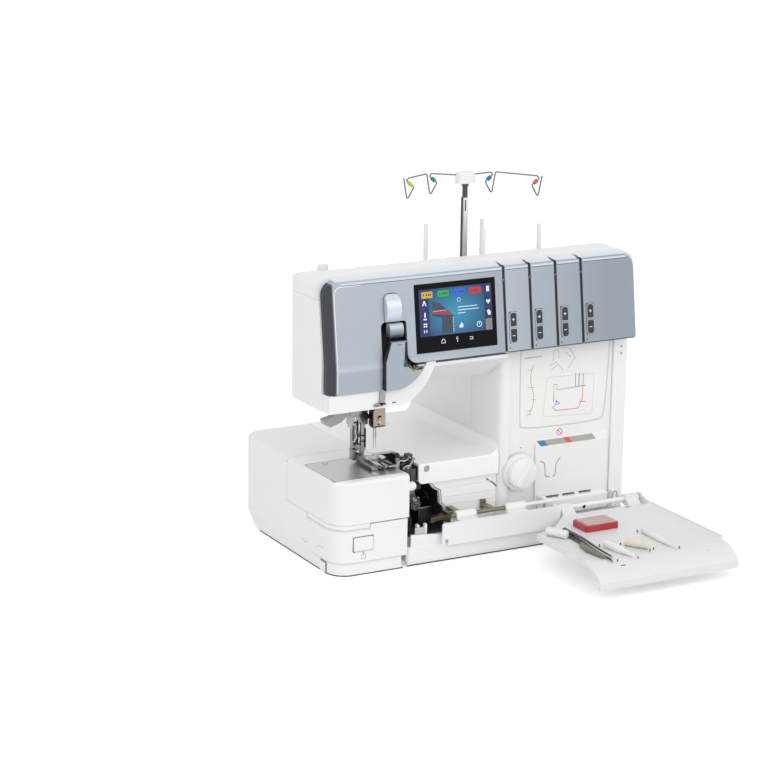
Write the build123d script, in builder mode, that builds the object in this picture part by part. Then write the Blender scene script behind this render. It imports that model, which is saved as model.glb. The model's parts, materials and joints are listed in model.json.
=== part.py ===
from build123d import *
import os

# Serger overlock machine, in millimetres, +Z up, standing on its rubber feet at z = 0.
# Places across (x) and back (y) are measured from the front left corner of the slide-on table,
# and across() and back() move them into the part's frame, whose origin is the bottom centre of the box.

# Overall reach of the object at rest, with its looper cover open
ARM_LEFT = -19.0
WHEEL_RIGHT = 437.0
LIP_FRONT = -206.0
BACK = 258.0
CENTRE_X = (ARM_LEFT + WHEEL_RIGHT) / 2
CENTRE_Y = (LIP_FRONT + BACK) / 2

# Heights
FOOT_H = 5.0
PAN_TOP = 24.0
BED_Z = 117.0
HEAD_Z = 200.0
FASCIA_BOTTOM = 222.0
BAND_Z = 251.0
SEAM_Z = 332.0
FASCIA_TOP = 354.0
RIDGE_Z = 358.0
TRAY_Z = 310.0

# Widths and depths of the main bodies
WALL = 3.0
SEAM = 0.3
TABLE_LEFT = -14.0
NOSE_RIGHT = 86.0
NOSE_BACK = 131.0
CHIN_X = 33.0
CHIN_Y = 74.0
CHIN_Z = 58.5
GROOVE_H = 4.0
NOSE_Z = 64.0
PAN_LEFT = 85.5
COLUMN_LEFT = 229.0
PANEL_LEFT = 242.3
THROAT_TOP = 212.0
COVE_R = 14.0
RIGHT = 415.0
COLUMN_FRONT = 30.0
ARM_BACK = 118.0
FASCIA_Y = 10.0
FASCIA_T = 4.0
FASCIA_LEAN = 14.0

# Tension panels: the left edge of the first thread groove, the groove's width and the pitch
GROOVE_X = 222.0
GROOVE_W = 3.2
GROOVE_PITCH = 36.9
FASCIA_RIGHT = 411.5
PANEL_COUNT = 4
KEY_W = 9.6
KEY_H = 17.0
PLUS_Z = 281.0
MINUS_Z = 261.5

# Needle, presser and looper places
NEEDLE_X = 78.0
NEEDLE_Y = 60.0
NEEDLE_BAR_R = 3.2
PRESSER_X = 54.0
PRESSER_Y = 77.0
PRESSER_R = 4.0
LOOPER_SHAFT_R = 4.0
RUNNING = 0.05

# Main shaft, motor and belt
SHAFT_Y = 120.0
SHAFT_Z = 80.0
SHAFT_R = 6.0
MOTOR_Y = 190.0
MOTOR_Z = 75.0
MOTOR_R = 32.0
BIG_PULLEY_R = 30.0
SMALL_PULLEY_R = 10.0
BELT_T = 2.0

# Looper cover: the rod it slides on and the pin it tilts on
ROD_Y = 8.0
ROD_Z = 54.0
ROD_R = 2.5
TILT_Y = 4.0
TILT_Z = 43.0
TILT_R = 3.0
COVER_LEFT = 226.0
COVER_RIGHT = 424.0
COVER_BOTTOM = 34.0
COVER_FLOOR = 38.0

# Thread stand
POLE_X = 260.0
POLE_Y = 180.0
POLE_R = 4.8
POLE_INNER_R = 3.4
SPOOL_PINS = [(212.0, 193.0), (262.0, 136.0), (294.0, 193.0), (344.0, 136.0)]
SPOOL_PIN_TOP = 377.0
WIRE_R = 0.9
BEAD_R = 2.3
GUIDE_TURN = 11.3

os.makedirs("parts", exist_ok=True)


def across(x):
    return x - CENTRE_X


def back(y):
    return y - CENTRE_Y


def keep(name, builder):
    """Label a finished piece and write it under its own name."""
    builder.part.label = name
    export_step(builder.part, f"parts/{name}.step")


def slab(x, y, z, mode=Mode.ADD):
    """A block between two places on each axis."""
    centre = (across(sum(x) / 2), back(sum(y) / 2), sum(z) / 2)
    with Locations(centre):
        Box(x[1] - x[0], y[1] - y[0], z[1] - z[0], mode=mode)


def bar_x(y, z, radius, x, mode=Mode.ADD):
    """A round bar that runs across."""
    with Locations((across(sum(x) / 2), back(y), z)):
        Cylinder(radius, x[1] - x[0], rotation=(0, 90, 0), mode=mode)


def bar_y(x, z, radius, y, mode=Mode.ADD):
    """A round bar that runs from front to back."""
    with Locations((across(x), back(sum(y) / 2), z)):
        Cylinder(radius, y[1] - y[0], rotation=(90, 0, 0), mode=mode)


def bar_z(x, y, radius, z, mode=Mode.ADD):
    """A round bar that stands upright."""
    with Locations((across(x), back(y), sum(z) / 2)):
        Cylinder(radius, z[1] - z[0], mode=mode)


def side_prism(points, x, mode=Mode.ADD):
    """A side outline of (y, z) points, carried across from x[0] to x[1]."""
    with BuildSketch(Plane.YZ.offset(across(x[0]))) as outline:
        with BuildLine():
            Polyline([(back(y), z) for y, z in points], close=True)
        make_face()
    extrude(outline.sketch, amount=x[1] - x[0], mode=mode)


def front_prism(points, y, mode=Mode.ADD):
    """A front outline of (x, z) points, carried back from y[0] to y[1]."""
    with BuildSketch(Plane.XZ.offset(-back(y[0]))) as outline:
        with BuildLine():
            Polyline([(across(x), z) for x, z in points], close=True)
        make_face()
    extrude(outline.sketch, amount=y[0] - y[1], mode=mode)


def top_prism(points, z, mode=Mode.ADD):
    """A plan outline of (x, y) points, carried up from z[0] to z[1]."""
    with BuildSketch(Plane.XY.offset(z[0])) as outline:
        with BuildLine():
            Polyline([(across(x), back(y)) for x, y in points], close=True)
        make_face()
    extrude(outline.sketch, amount=z[1] - z[0], mode=mode)


def leaning(points, z, mode=Mode.ADD):
    """A plan outline at the band's lower edge, carried up along the fascia's lean."""
    share = (z[1] - z[0]) / (FASCIA_TOP - BAND_Z)
    start = FASCIA_LEAN * (z[0] - BAND_Z) / (FASCIA_TOP - BAND_Z)
    rise = Vector(0, FASCIA_LEAN * share, z[1] - z[0])
    with BuildSketch(Plane.XY.offset(z[0])) as outline:
        with BuildLine():
            Polyline([(across(x), back(y + start)) for x, y in points], close=True)
        make_face()
    extrude(outline.sketch, amount=rise.length, dir=rise.normalized(), mode=mode)


def rounded_plan(x, y, z, front_left, back_left):
    """A block whose two left upright corners are rounded."""
    with BuildSketch(Plane.XY.offset(z[0])) as outline:
        with Locations((across(sum(x) / 2), back(sum(y) / 2))):
            Rectangle(x[1] - x[0], y[1] - y[0])
        left = outline.vertices().group_by(Axis.X)[0].sort_by(Axis.Y)
        fillet(left[0], front_left)
        left = outline.vertices().group_by(Axis.X)[0].sort_by(Axis.Y)
        fillet(left[-1], back_left)
    extrude(outline.sketch, amount=z[1] - z[0])


def fascia_y(z):
    """Front of the leaning fascia at a height above the band's lower edge."""
    return FASCIA_Y + FASCIA_LEAN * (z - BAND_Z) / (FASCIA_TOP - BAND_Z)


def groove_x(i):
    return GROOVE_X + GROOVE_PITCH * i


def panel_span(i):
    """Left and right edges of a tension panel, between its grooves."""
    left = groove_x(i) + GROOVE_W + 0.2
    right = groove_x(i + 1) - 0.2 if i < PANEL_COUNT - 1 else FASCIA_RIGHT
    return left, right


# Base pan: the bottom tray that everything stands in
with BuildPart() as base_pan:
    slab((PAN_LEFT, RIGHT - 0.5), (2, BACK - 0.5), (FOOT_H, PAN_TOP))
    fillet(base_pan.edges().filter_by(Axis.Z), 6)
    slab((PAN_LEFT + WALL, RIGHT - WALL), (5, BACK - 4), (FOOT_H + WALL, PAN_TOP + 1), mode=Mode.SUBTRACT)
    slab((PAN_LEFT + WALL, RIGHT - WALL), (4, 40), (PAN_TOP - WALL, PAN_TOP))
    slab((102, 116), (8, 13), (PAN_TOP - 1, 49))
    slab((105.5, 112.5), (7, 14), (38, 50), mode=Mode.SUBTRACT)
keep("base_pan", base_pan)

# Rubber feet: four pads under the pan
with BuildPart() as rubber_feet:
    for foot_x in (PAN_LEFT + 20, RIGHT - 22):
        for foot_y in (26, BACK - 26):
            bar_z(foot_x, foot_y, 9, (0, FOOT_H))
keep("rubber_feet", rubber_feet)

# Frame casting: base plate, bearing pedestals, motor cradle, post and arm beam
with BuildPart() as frame_casting:
    slab((168, 405), (50, 245), (9, 19))
    for pedestal in ((172, 188), (345, 361)):
        slab(pedestal, (SHAFT_Y - 16, SHAFT_Y + 16), (19, SHAFT_Z + 18))
        bar_x(SHAFT_Y, SHAFT_Z, SHAFT_R + RUNNING, pedestal, mode=Mode.SUBTRACT)
    slab((255, 325), (MOTOR_Y - 26, MOTOR_Y + 26), (19, 52))
    bar_x(MOTOR_Y, MOTOR_Z, MOTOR_R + RUNNING, (250, 330), mode=Mode.SUBTRACT)
    slab((300, 330), (60, 98), (19, 312))
    slab((20, 330), (50, 98), (286, 312))
    bar_z(NEEDLE_X, NEEDLE_Y, NEEDLE_BAR_R + 1.5, (285, 313), mode=Mode.SUBTRACT)
    bar_z(PRESSER_X, PRESSER_Y, PRESSER_R + 1.5, (285, 313), mode=Mode.SUBTRACT)
keep("frame_casting", frame_casting)

# Bed cover: the sewing bed with its front lip, the looper opening and the walls below it
BED_LEFT = NOSE_RIGHT + 1
BED_RIGHT = COLUMN_LEFT - SEAM
with BuildPart() as bed_cover:
    seam_y = NOSE_BACK + 0.5
    bed = [(80.5, seam_y), (80.5, BACK), (BED_RIGHT, BACK), (BED_RIGHT, 31)]
    bed += [(116, 31), (116, 100), (BED_LEFT, 100), (BED_LEFT, seam_y)]
    top_prism(bed, (BED_Z - WALL, BED_Z))
    slab((116, BED_RIGHT), (31, 34), (92, BED_Z - WALL))
    slab((116, BED_RIGHT), (31, 39), (92, 95))
    opening_edge = [(135, 93), (135, 88), (138, 84), (146.5, 79), (148, 63), (154, 57), (156, 48), (157, 37)]
    opening_edge += [(157, PAN_TOP + SEAM), (BED_RIGHT, PAN_TOP + SEAM), (BED_RIGHT, 93)]
    front_prism(opening_edge, (36, 39))
    slab((BED_LEFT, BED_LEFT + WALL), (112, BACK), (PAN_TOP + SEAM, BED_Z - WALL))
    slab((BED_LEFT, BED_RIGHT), (BACK - WALL, BACK), (PAN_TOP + SEAM, BED_Z - WALL))
    lip_edges = bed_cover.edges().filter_by(Axis.X).filter_by_position(Axis.Y, back(30.9), back(31.1))
    fillet(lip_edges.group_by(Axis.Z)[-1], 1.5)
    left_edges = bed_cover.edges().filter_by(Axis.Y)
    left_edges = left_edges.filter_by_position(Axis.X, across(115.9), across(116.1))
    fillet(left_edges.group_by(Axis.Z)[0], 6)
    with BuildSketch(Plane.XZ.offset(-back(33))) as cove:
        right, start, rise = across(BED_RIGHT), across(BED_RIGHT - COVE_R), BED_Z + COVE_R
        bend = COVE_R * 0.7071
        with BuildLine():
            Polyline((start, BED_Z), (start, BED_Z - 1), (right, BED_Z - 1), (right, rise))
            ThreePointArc((right, rise), (start + bend, rise - bend), (start, BED_Z))
        make_face()
    extrude(cove.sketch, amount=33 - (BACK - 4))
    bar_y(127, 110.5, 4.2, (30, 33), mode=Mode.SUBTRACT)
keep("bed_cover", bed_cover)

# Free arm nose: the front left block that carries the stitch plate, open on its right
with BuildPart() as free_arm_nose:
    rounded_plan((TABLE_LEFT, NOSE_RIGHT), (0, NOSE_BACK), (NOSE_Z, BED_Z), 25, 4)
    rim = free_arm_nose.edges().filter_by_position(Axis.X, across(-30), across(NOSE_RIGHT - 1))
    rim = rim.filter_by_position(Axis.Y, back(-1), back(NOSE_BACK - 1))
    fillet(rim.group_by(Axis.Z)[-1], 5)
    slab((-9, NOSE_RIGHT + 1), (12.5, 93), (BED_Z - 2.5, BED_Z + 1), mode=Mode.SUBTRACT)
    slab((-6, NOSE_RIGHT + 1), (9, NOSE_BACK - 5), (NOSE_Z + WALL, BED_Z - 4), mode=Mode.SUBTRACT)
    slab((50, NOSE_RIGHT + 1), (30, 90), (BED_Z - 5, BED_Z - 2), mode=Mode.SUBTRACT)
    bar_x(7, 100, 5.5, (NOSE_RIGHT - 2, 95))
    bar_x(7, 100, 4, (94, 97))
keep("free_arm_nose", free_arm_nose)

# Stitch plate: a steel plate with the needle slot and two feed slots
with BuildPart() as stitch_plate:
    slab((-8.8, NOSE_RIGHT), (12.7, 92.8), (BED_Z - 2.4, BED_Z))
    plate_left = stitch_plate.edges().filter_by(Axis.Z).group_by(Axis.X)[0]
    fillet(plate_left, 3.5)
    slab((66, 74), (57, 63), (BED_Z - 3, BED_Z + 1), mode=Mode.SUBTRACT)
    for slot in ((57.5, 62.5), (75.5, 80.5)):
        slab(slot, (40, 80), (BED_Z - 3, BED_Z + 1), mode=Mode.SUBTRACT)
    for screw in ((16.2, 86), (49, 18)):
        bar_z(screw[0], screw[1], 2.5, (BED_Z - 3, BED_Z + 1), mode=Mode.SUBTRACT)
keep("stitch_plate", stitch_plate)

# Plate screws: two slotted screws
with BuildPart() as plate_screws:
    for screw in ((16.2, 86), (49, 18)):
        bar_z(screw[0], screw[1], 2.3, (BED_Z - 2.4, BED_Z))
        bar_z(screw[0], screw[1], 3.6, (BED_Z, BED_Z + 1))
        slot_x, slot_y = (screw[0] - 4, screw[0] + 4), (screw[1] - 0.5, screw[1] + 0.5)
        slab(slot_x, slot_y, (BED_Z + 0.4, BED_Z + 2), mode=Mode.SUBTRACT)
keep("plate_screws", plate_screws)

# Slide-on table: the storage table round and under the nose, pulled off to the left
with BuildPart() as slide_on_table:
    rounded_plan((TABLE_LEFT + 1.2, 77), (1.2, BACK), (1, 17), 24, 25)
    rounded_plan((TABLE_LEFT, 84), (0, BACK), (17, NOSE_Z - 1.5), 25, 26)
    rounded_plan((TABLE_LEFT, 80), (NOSE_BACK + 1.5, BACK), (NOSE_Z - 1.5, BED_Z), 4, 26)
    table_rim = slide_on_table.edges().filter_by_position(Axis.X, across(-30), across(79))
    table_rim = table_rim.group_by(Axis.Z)[-1].filter_by_position(Axis.Y, back(NOSE_BACK + 3), back(300))
    fillet(table_rim, 4)
    heel = [(BACK + 1, 0), (211, 0), (211, 1), (BACK + 1, 30)]
    side_prism(heel, (-20, 90), mode=Mode.SUBTRACT)
    slab((-20, CHIN_X + 1), (-1, CHIN_Y + 1), (CHIN_Z - GROOVE_H, NOSE_Z), mode=Mode.SUBTRACT)
    ledge_z = CHIN_Z - GROOVE_H
    with BuildSketch(Plane.XY.offset(ledge_z)) as ledge:
        ledge_right, ledge_back = CHIN_X + 12, CHIN_Y + 12
        with Locations((across((TABLE_LEFT + ledge_right) / 2), back(ledge_back / 2))):
            Rectangle(ledge_right - TABLE_LEFT, ledge_back)
        fillet(ledge.vertices().group_by(Axis.X)[0].sort_by(Axis.Y)[0], 25)
    extrude(ledge.sketch, amount=GROOVE_H, taper=50)
    rounded_plan((TABLE_LEFT, CHIN_X), (0, CHIN_Y), (CHIN_Z, NOSE_Z - 0.4), 25, 2)
    slab((CHIN_X - 1, CHIN_X + 2), (6, CHIN_Y - 4), (CHIN_Z, NOSE_Z - 1.5))
    slab((-6, 90), (10, 205), (4, 50), mode=Mode.SUBTRACT)
    slab((-6, 90), (NOSE_BACK + 6, BACK - 10), (40, BED_Z - 3.5), mode=Mode.SUBTRACT)
    slab((10.3, 37.7), (-1, 11), (30.3, 48.7), mode=Mode.SUBTRACT)
    slab((TABLE_LEFT - 0.5, TABLE_LEFT + 8), (25, 37), (0.3, 8))
keep("slide_on_table", slide_on_table)

# Table release button: pressed in to free the table
with BuildPart() as table_release_button:
    slab((11, 37), (-1.2, 11), (31, 48))
    fillet(table_release_button.edges().filter_by(Axis.Y), 2)
    slab((8, 40), (10.4, 12.4), (29, 50))
keep("table_release_button", table_release_button)

# Power switch pivot, inside the column's right wall
SWITCH_X = 409.5
SWITCH_Z = 94.0
SWITCH_PIN_R = 1.5

# Column housing: the upright shell on the right, open at the front and the back
with BuildPart() as column_housing:
    slab((COLUMN_LEFT, RIGHT), (COLUMN_FRONT, BACK - 3.5), (PAN_TOP + SEAM, BAND_Z - 1.5))
    slab((COLUMN_LEFT, RIGHT), (ARM_BACK + 0.5, BACK - 3.5), (BAND_Z - 1.5, TRAY_Z))
    corners = column_housing.edges().filter_by(Axis.Z).group_by(Axis.Y)[0].sort_by(Axis.X)
    fillet(corners[-1], 5)
    corners = column_housing.edges().filter_by(Axis.Z).group_by(Axis.Y)[0].sort_by(Axis.X)
    fillet(corners[0], 9)
    slab((COLUMN_LEFT - 1, COLUMN_LEFT + 0.6), (99.6, 100.4), (BED_Z, BAND_Z), mode=Mode.SUBTRACT)
    inside = (COLUMN_LEFT + WALL, RIGHT - WALL)
    slab(inside, (34, BACK + 1), (PAN_TOP - 1, BAND_Z - 4.5), mode=Mode.SUBTRACT)
    slab(inside, (ARM_BACK + 3.5, BACK + 1), (BAND_Z - 10, TRAY_Z - WALL), mode=Mode.SUBTRACT)
    slab((PANEL_LEFT - SEAM, 393), (20, 36), (PAN_TOP - 1, BAND_Z), mode=Mode.SUBTRACT)
    slab((297, 333), (57, 103), (BAND_Z - 10, BAND_Z), mode=Mode.SUBTRACT)
    bar_x(SHAFT_Y, SHAFT_Z, SHAFT_R + 2, (COLUMN_LEFT - 5, RIGHT + 5), mode=Mode.SUBTRACT)
    slab((400, 420), (199.7, 232.3), (47.7, 72.3), mode=Mode.SUBTRACT)
    slab((400, 420), (206, 226), (SWITCH_Z - 10.5, SWITCH_Z + 10.5), mode=Mode.SUBTRACT)
    for boss in ((200, 205.6), (226.4, 232)):
        slab((SWITCH_X - 3.5, RIGHT - WALL), boss, (SWITCH_Z - 4, SWITCH_Z + 4))
    bar_y(SWITCH_X, SWITCH_Z, SWITCH_PIN_R + RUNNING, (198, 234), mode=Mode.SUBTRACT)
    bar_z(POLE_X, POLE_Y, POLE_R + 0.1, (TRAY_Z - 10, TRAY_Z + 1), mode=Mode.SUBTRACT)
    slab((394, 402), (23, COLUMN_FRONT), (28, 49))
    for latch_z in (226, 235):
        bar_y(404, latch_z, 1.5, (25, 34), mode=Mode.SUBTRACT)
keep("column_housing", column_housing)

# Threading dial axis
DIAL_X = 257.0
DIAL_Z = 90.5

# Column front panel: the recessed panel behind the looper cover, with its raised block and slots
with BuildPart() as column_front_panel:
    slab((PANEL_LEFT, 392.7), (33, 36), (PAN_TOP + SEAM, BAND_Z - 2))
    side_prism([(33, 30), (33, 127), (29.5, 118), (29.5, 30)], (282, 388))
    side_prism([(29.6, 30), (29.6, 48.8), (26.5, 48.8), (25, 47), (25, 30)], (296, 388))
    bar_y(DIAL_X, DIAL_Z, 11.4, (30, 33))
    bar_y(DIAL_X, DIAL_Z, LOOPER_SHAFT_R + RUNNING, (25, 40), mode=Mode.SUBTRACT)
    for slot in ((299, 318), (323, 342), (347, 366)):
        slab(slot, (29, 37), (49.5, 53), mode=Mode.SUBTRACT)
    bar_y(353, 32.5, 2.2, (24, 37), mode=Mode.SUBTRACT)
keep("column_front_panel", column_front_panel)

# Rear cover: closes the column's back, with cooling slots
with BuildPart() as rear_cover:
    slab((COLUMN_LEFT + 1, RIGHT - 1), (BACK - 3.2, BACK), (PAN_TOP + 1, TRAY_Z - 1))
    fillet(rear_cover.edges().filter_by(Axis.Y), 5)
    for row in range(6):
        slab((290, 360), (BACK - 10, BACK + 1), (52 + row * 9, 55.5 + row * 9), mode=Mode.SUBTRACT)
keep("rear_cover", rear_cover)


def arm_outline(inset, top):
    """Front outline of the head and arm, inset from the outer faces."""
    with BuildLine() as line:
        left, right = across(ARM_LEFT + inset), across(RIGHT - inset)
        bottom, under = HEAD_Z + inset, BAND_Z - 1 + inset
        start, end = across(84 - inset * 0.4), across(126 - inset)
        ThreePointArc((start, bottom), (across(107 - inset * 0.9), 217 + inset * 0.5), (end, under))
        Polyline((end, under), (right, under), (right, top), (left, top), (left, bottom), (start, bottom))
    return line.line


# Room for the fascia's leaning left rib, cut out of the housing and the top cover
RIB_BACK = FASCIA_Y + 16
RIB_RIGHT = -3.0
RIB_ROOM = [(-30, -40), (RIB_RIGHT + SEAM, -40)]
RIB_ROOM += [(RIB_RIGHT + SEAM, RIB_BACK + SEAM), (-30, RIB_BACK + SEAM)]

# Arm housing: the white shell of the head and the arm, open at the front and the top
with BuildPart() as arm_housing:
    with BuildSketch(Plane.XZ.offset(-back(28.5))) as outer:
        add(arm_outline(0, SEAM_Z - SEAM))
        make_face()
    extrude(outer.sketch, amount=28.5 - ARM_BACK)
    left_corners = arm_housing.edges().filter_by(Axis.Z).group_by(Axis.X)[0]
    fillet(left_corners.sort_by(Axis.Y)[-1], 16)
    throat_right = COLUMN_LEFT - SEAM
    throat = [(15, 247), (15, 243), (60, THROAT_TOP), (ARM_BACK, THROAT_TOP), (ARM_BACK, BAND_Z)]
    side_prism(throat + [(29, BAND_Z), (29, 247)], (103, throat_right))
    with BuildSketch(Plane.XZ.offset(-back(20))) as inner:
        add(arm_outline(WALL, SEAM_Z + 5))
        make_face()
    extrude(inner.sketch, amount=20 - (ARM_BACK - WALL), mode=Mode.SUBTRACT)
    floor_z = THROAT_TOP + WALL
    hollow = [(32, BAND_Z + 4), (32, 236), (61.5, floor_z)]
    hollow += [(ARM_BACK - WALL, floor_z), (ARM_BACK - WALL, BAND_Z + 4)]
    side_prism(hollow, (106, throat_right - WALL), mode=Mode.SUBTRACT)
    with BuildSketch(Plane.XZ.offset(-back(12))) as lip:
        with BuildLine():
            Polyline((across(-17), 221.5), (across(-17), HEAD_Z), (across(84), HEAD_Z))
            ThreePointArc((across(84), HEAD_Z), (across(107), 217), (across(126), BAND_Z - 1))
            Polyline((across(126), BAND_Z - 1), (across(114), BAND_Z - 1))
            ThreePointArc((across(114), BAND_Z - 1), (across(99), 231), (across(76), 221.5))
            Line((across(76), 221.5), (across(-17), 221.5))
        make_face()
    extrude(lip.sketch, amount=12 - 31.5)
    slab((-14, 82), (15, 32), (HEAD_Z + WALL, 218), mode=Mode.SUBTRACT)
    bar_z(NEEDLE_X, NEEDLE_Y, NEEDLE_BAR_R + 0.8, (HEAD_Z - 1, HEAD_Z + 4), mode=Mode.SUBTRACT)
    bar_z(PRESSER_X, PRESSER_Y, PRESSER_R + 0.8, (HEAD_Z - 1, HEAD_Z + 4), mode=Mode.SUBTRACT)
    slab((297, 333), (57, 103), (BAND_Z - 5, BAND_Z + 5), mode=Mode.SUBTRACT)
    leaning(RIB_ROOM, (BAND_Z, SEAM_Z + 2), mode=Mode.SUBTRACT)
keep("arm_housing", arm_housing)

# Arm top cover: the crowned lid of the arm, with the well behind its ridge for the carry handle
HANDLE_Y = 104.0
HANDLE_Z = 346.0
HANDLE_PIN_R = 2.5
HANDLE_X = (14.4, 189.6)
HANDLE_WELL = (HANDLE_X[0] - 0.4, HANDLE_X[1] + 0.4)
with BuildPart() as arm_top_cover:
    crown = [(28.5, SEAM_Z), (28.5, FASCIA_TOP), (40, 356.5), (58, RIDGE_Z), (80, 357), (100, 353.5)]
    side_prism(crown + [(111, 349), (ARM_BACK, 342), (ARM_BACK, SEAM_Z)], (ARM_LEFT, RIGHT))
    fillet(arm_top_cover.edges().filter_by(Axis.Z).group_by(Axis.X)[0].sort_by(Axis.Y)[-1], 16)
    hollow = [(31.5, SEAM_Z - 1), (31.5, 350), (58, 354), (76, 353), (84, 348), (86, 336)]
    hollow += [(ARM_BACK - WALL, 335), (ARM_BACK - WALL, SEAM_Z - 1)]
    side_prism(hollow, (-1, 400), mode=Mode.SUBTRACT)
    leaning(RIB_ROOM, (SEAM_Z - 2, RIDGE_Z + 4), mode=Mode.SUBTRACT)
    for corner_x, centre_x in ((RIGHT, RIGHT - 18), (ARM_LEFT, ARM_LEFT + 18)):
        with BuildSketch(Plane.XZ.offset(-back(20))) as corner:
            with Locations((across((corner_x + centre_x) / 2), RIDGE_Z - 9)):
                Rectangle(18, 18)
            with Locations((across(centre_x), RIDGE_Z - 18)):
                Circle(18, mode=Mode.SUBTRACT)
        extrude(corner.sketch, amount=-110, mode=Mode.SUBTRACT)
    for i in range(PANEL_COUNT):
        slab((groove_x(i) - 0.2, groove_x(i) + GROOVE_W + 0.2), (20, 42), (352.5, 362), mode=Mode.SUBTRACT)
    slab(HANDLE_WELL, (87, ARM_BACK + 1), (338, 362), mode=Mode.SUBTRACT)
    pin_holes = (HANDLE_X[0] - 7, HANDLE_X[1] + 7)
    bar_x(HANDLE_Y, HANDLE_Z, HANDLE_PIN_R + RUNNING, pin_holes, mode=Mode.SUBTRACT)
keep("arm_top_cover", arm_top_cover)

# Carry handle: a bail folded back behind the arm, with a thumb tab above its left pivot
with BuildPart() as carry_handle:
    for arm_span in ((HANDLE_X[0], HANDLE_X[0] + 11), (HANDLE_X[1] - 11, HANDLE_X[1])):
        bar_x(HANDLE_Y, HANDLE_Z, 6, arm_span)
        arm = [(HANDLE_Y, 340), (HANDLE_Y, 352), (123, 348), (140, 336), (140, 326), (120, 339)]
        side_prism(arm, arm_span)
    tab = [(HANDLE_Y - 5, 348), (HANDLE_Y - 5, 359), (HANDLE_Y, 360), (HANDLE_Y + 5, 350)]
    side_prism(tab, (HANDLE_X[0], HANDLE_X[0] + 11))
    bar_x(136, 331, 5, HANDLE_X)
    bar_x(HANDLE_Y, HANDLE_Z, HANDLE_PIN_R, (HANDLE_X[0] - 6, HANDLE_X[0]))
    bar_x(HANDLE_Y, HANDLE_Z, HANDLE_PIN_R, (HANDLE_X[1], HANDLE_X[1] + 6))
keep("carry_handle", carry_handle)

# Head fascia: the metallic front of the head and screen, with its chamfered left end
SCREEN_X = (99.4, 210.9)
SCREEN_Z = (261.0, 342.7)
SLOT_X = (53.0, 87.0)
SLOT_TOP = 302.5
FLAP_X, FLAP_W, FLAP_TOP = 68.0, 19.6, 336.0
with BuildPart() as head_fascia:
    y0, y1 = FASCIA_Y, FASCIA_Y + FASCIA_T
    plan = [(-17, y0 + 10), (-8, y0), (GROOVE_X - 0.2, y0), (GROOVE_X - 0.2, y1)]
    plan += [(RIB_RIGHT, y1), (RIB_RIGHT, RIB_BACK), (-17, RIB_BACK)]
    leaning(plan, (BAND_Z, FASCIA_TOP))
    with BuildSketch(Plane.XY.offset(FASCIA_BOTTOM)) as lower:
        with BuildLine():
            Polyline([(across(x), back(y)) for x, y in plan], close=True)
        make_face()
    extrude(lower.sketch, amount=BAND_Z - FASCIA_BOTTOM)
    with BuildSketch(Plane.XZ.offset(-back(0))) as corner:
        with BuildLine():
            ThreePointArc((across(76), FASCIA_BOTTOM), (across(99), 231.5), (across(114), BAND_Z))
            Polyline((across(114), BAND_Z), (across(230), BAND_Z), (across(230), 215), (across(76), 215))
            Line((across(76), 215), (across(76), FASCIA_BOTTOM))
        make_face()
    extrude(corner.sketch, amount=-60, mode=Mode.SUBTRACT)
    with BuildSketch(Plane.XZ.offset(-back(0))) as shoulder:
        with Locations((across(-17 + 9), FASCIA_TOP - 8)):
            Rectangle(18, 18)
        with Locations((across(1), FASCIA_TOP - 17)):
            Circle(18, mode=Mode.SUBTRACT)
    extrude(shoulder.sketch, amount=-60, mode=Mode.SUBTRACT)
    screen = [(SCREEN_X[0], 0), (SCREEN_X[1], 0), (SCREEN_X[1], 20), (SCREEN_X[0], 20)]
    leaning(screen, SCREEN_Z, mode=Mode.SUBTRACT)
    slab(SLOT_X, (0, 40), (FASCIA_BOTTOM - 1, SLOT_TOP), mode=Mode.SUBTRACT)
    slab((SLOT_X[1] - 1, 130), (0, 40), (FASCIA_BOTTOM - 1, BAND_Z), mode=Mode.SUBTRACT)
    with BuildSketch(Plane.XZ.offset(-back(0))) as openings:
        with Locations((across(FLAP_X), FLAP_TOP + 0.4 - 30)):
            RectangleRounded(FLAP_W + 0.8, 60, 7)
        with Locations((across(FLAP_X), SLOT_TOP - 40)):
            Rectangle(60, 80, mode=Mode.SUBTRACT)
        with Locations((across(SLOT_X[1] + 6), BAND_Z + 6)):
            Rectangle(14, 14)
        with Locations((across(SLOT_X[1] + 13), BAND_Z + 13)):
            Circle(13, mode=Mode.SUBTRACT)
    extrude(openings.sketch, amount=-60, mode=Mode.SUBTRACT)
keep("head_fascia", head_fascia)

# Tension panels: four metallic panels between the thread grooves, each with two key windows
with BuildPart() as tension_panels:
    for i in range(PANEL_COUNT):
        left, right = panel_span(i)
        y0, y1 = FASCIA_Y, FASCIA_Y + FASCIA_T
        leaning([(left, y0), (right, y0), (right, y1), (left, y1)], (BAND_Z, FASCIA_TOP))
        for key_z in (MINUS_Z, PLUS_Z):
            window = [(left + 3.6, 0), (left + 4.4 + KEY_W, 0), (left + 4.4 + KEY_W, 30), (left + 3.6, 30)]
            leaning(window, (key_z - 0.4, key_z + KEY_H + 0.4), mode=Mode.SUBTRACT)
    with BuildSketch(Plane.XZ.offset(-back(0))) as corner:
        with Locations((across(FASCIA_RIGHT - 9), FASCIA_TOP - 8)):
            Rectangle(18, 18)
        with Locations((across(FASCIA_RIGHT - 18), FASCIA_TOP - 17)):
            Circle(18, mode=Mode.SUBTRACT)
    extrude(corner.sketch, amount=-60, mode=Mode.SUBTRACT)
keep("tension_panels", tension_panels)

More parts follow.
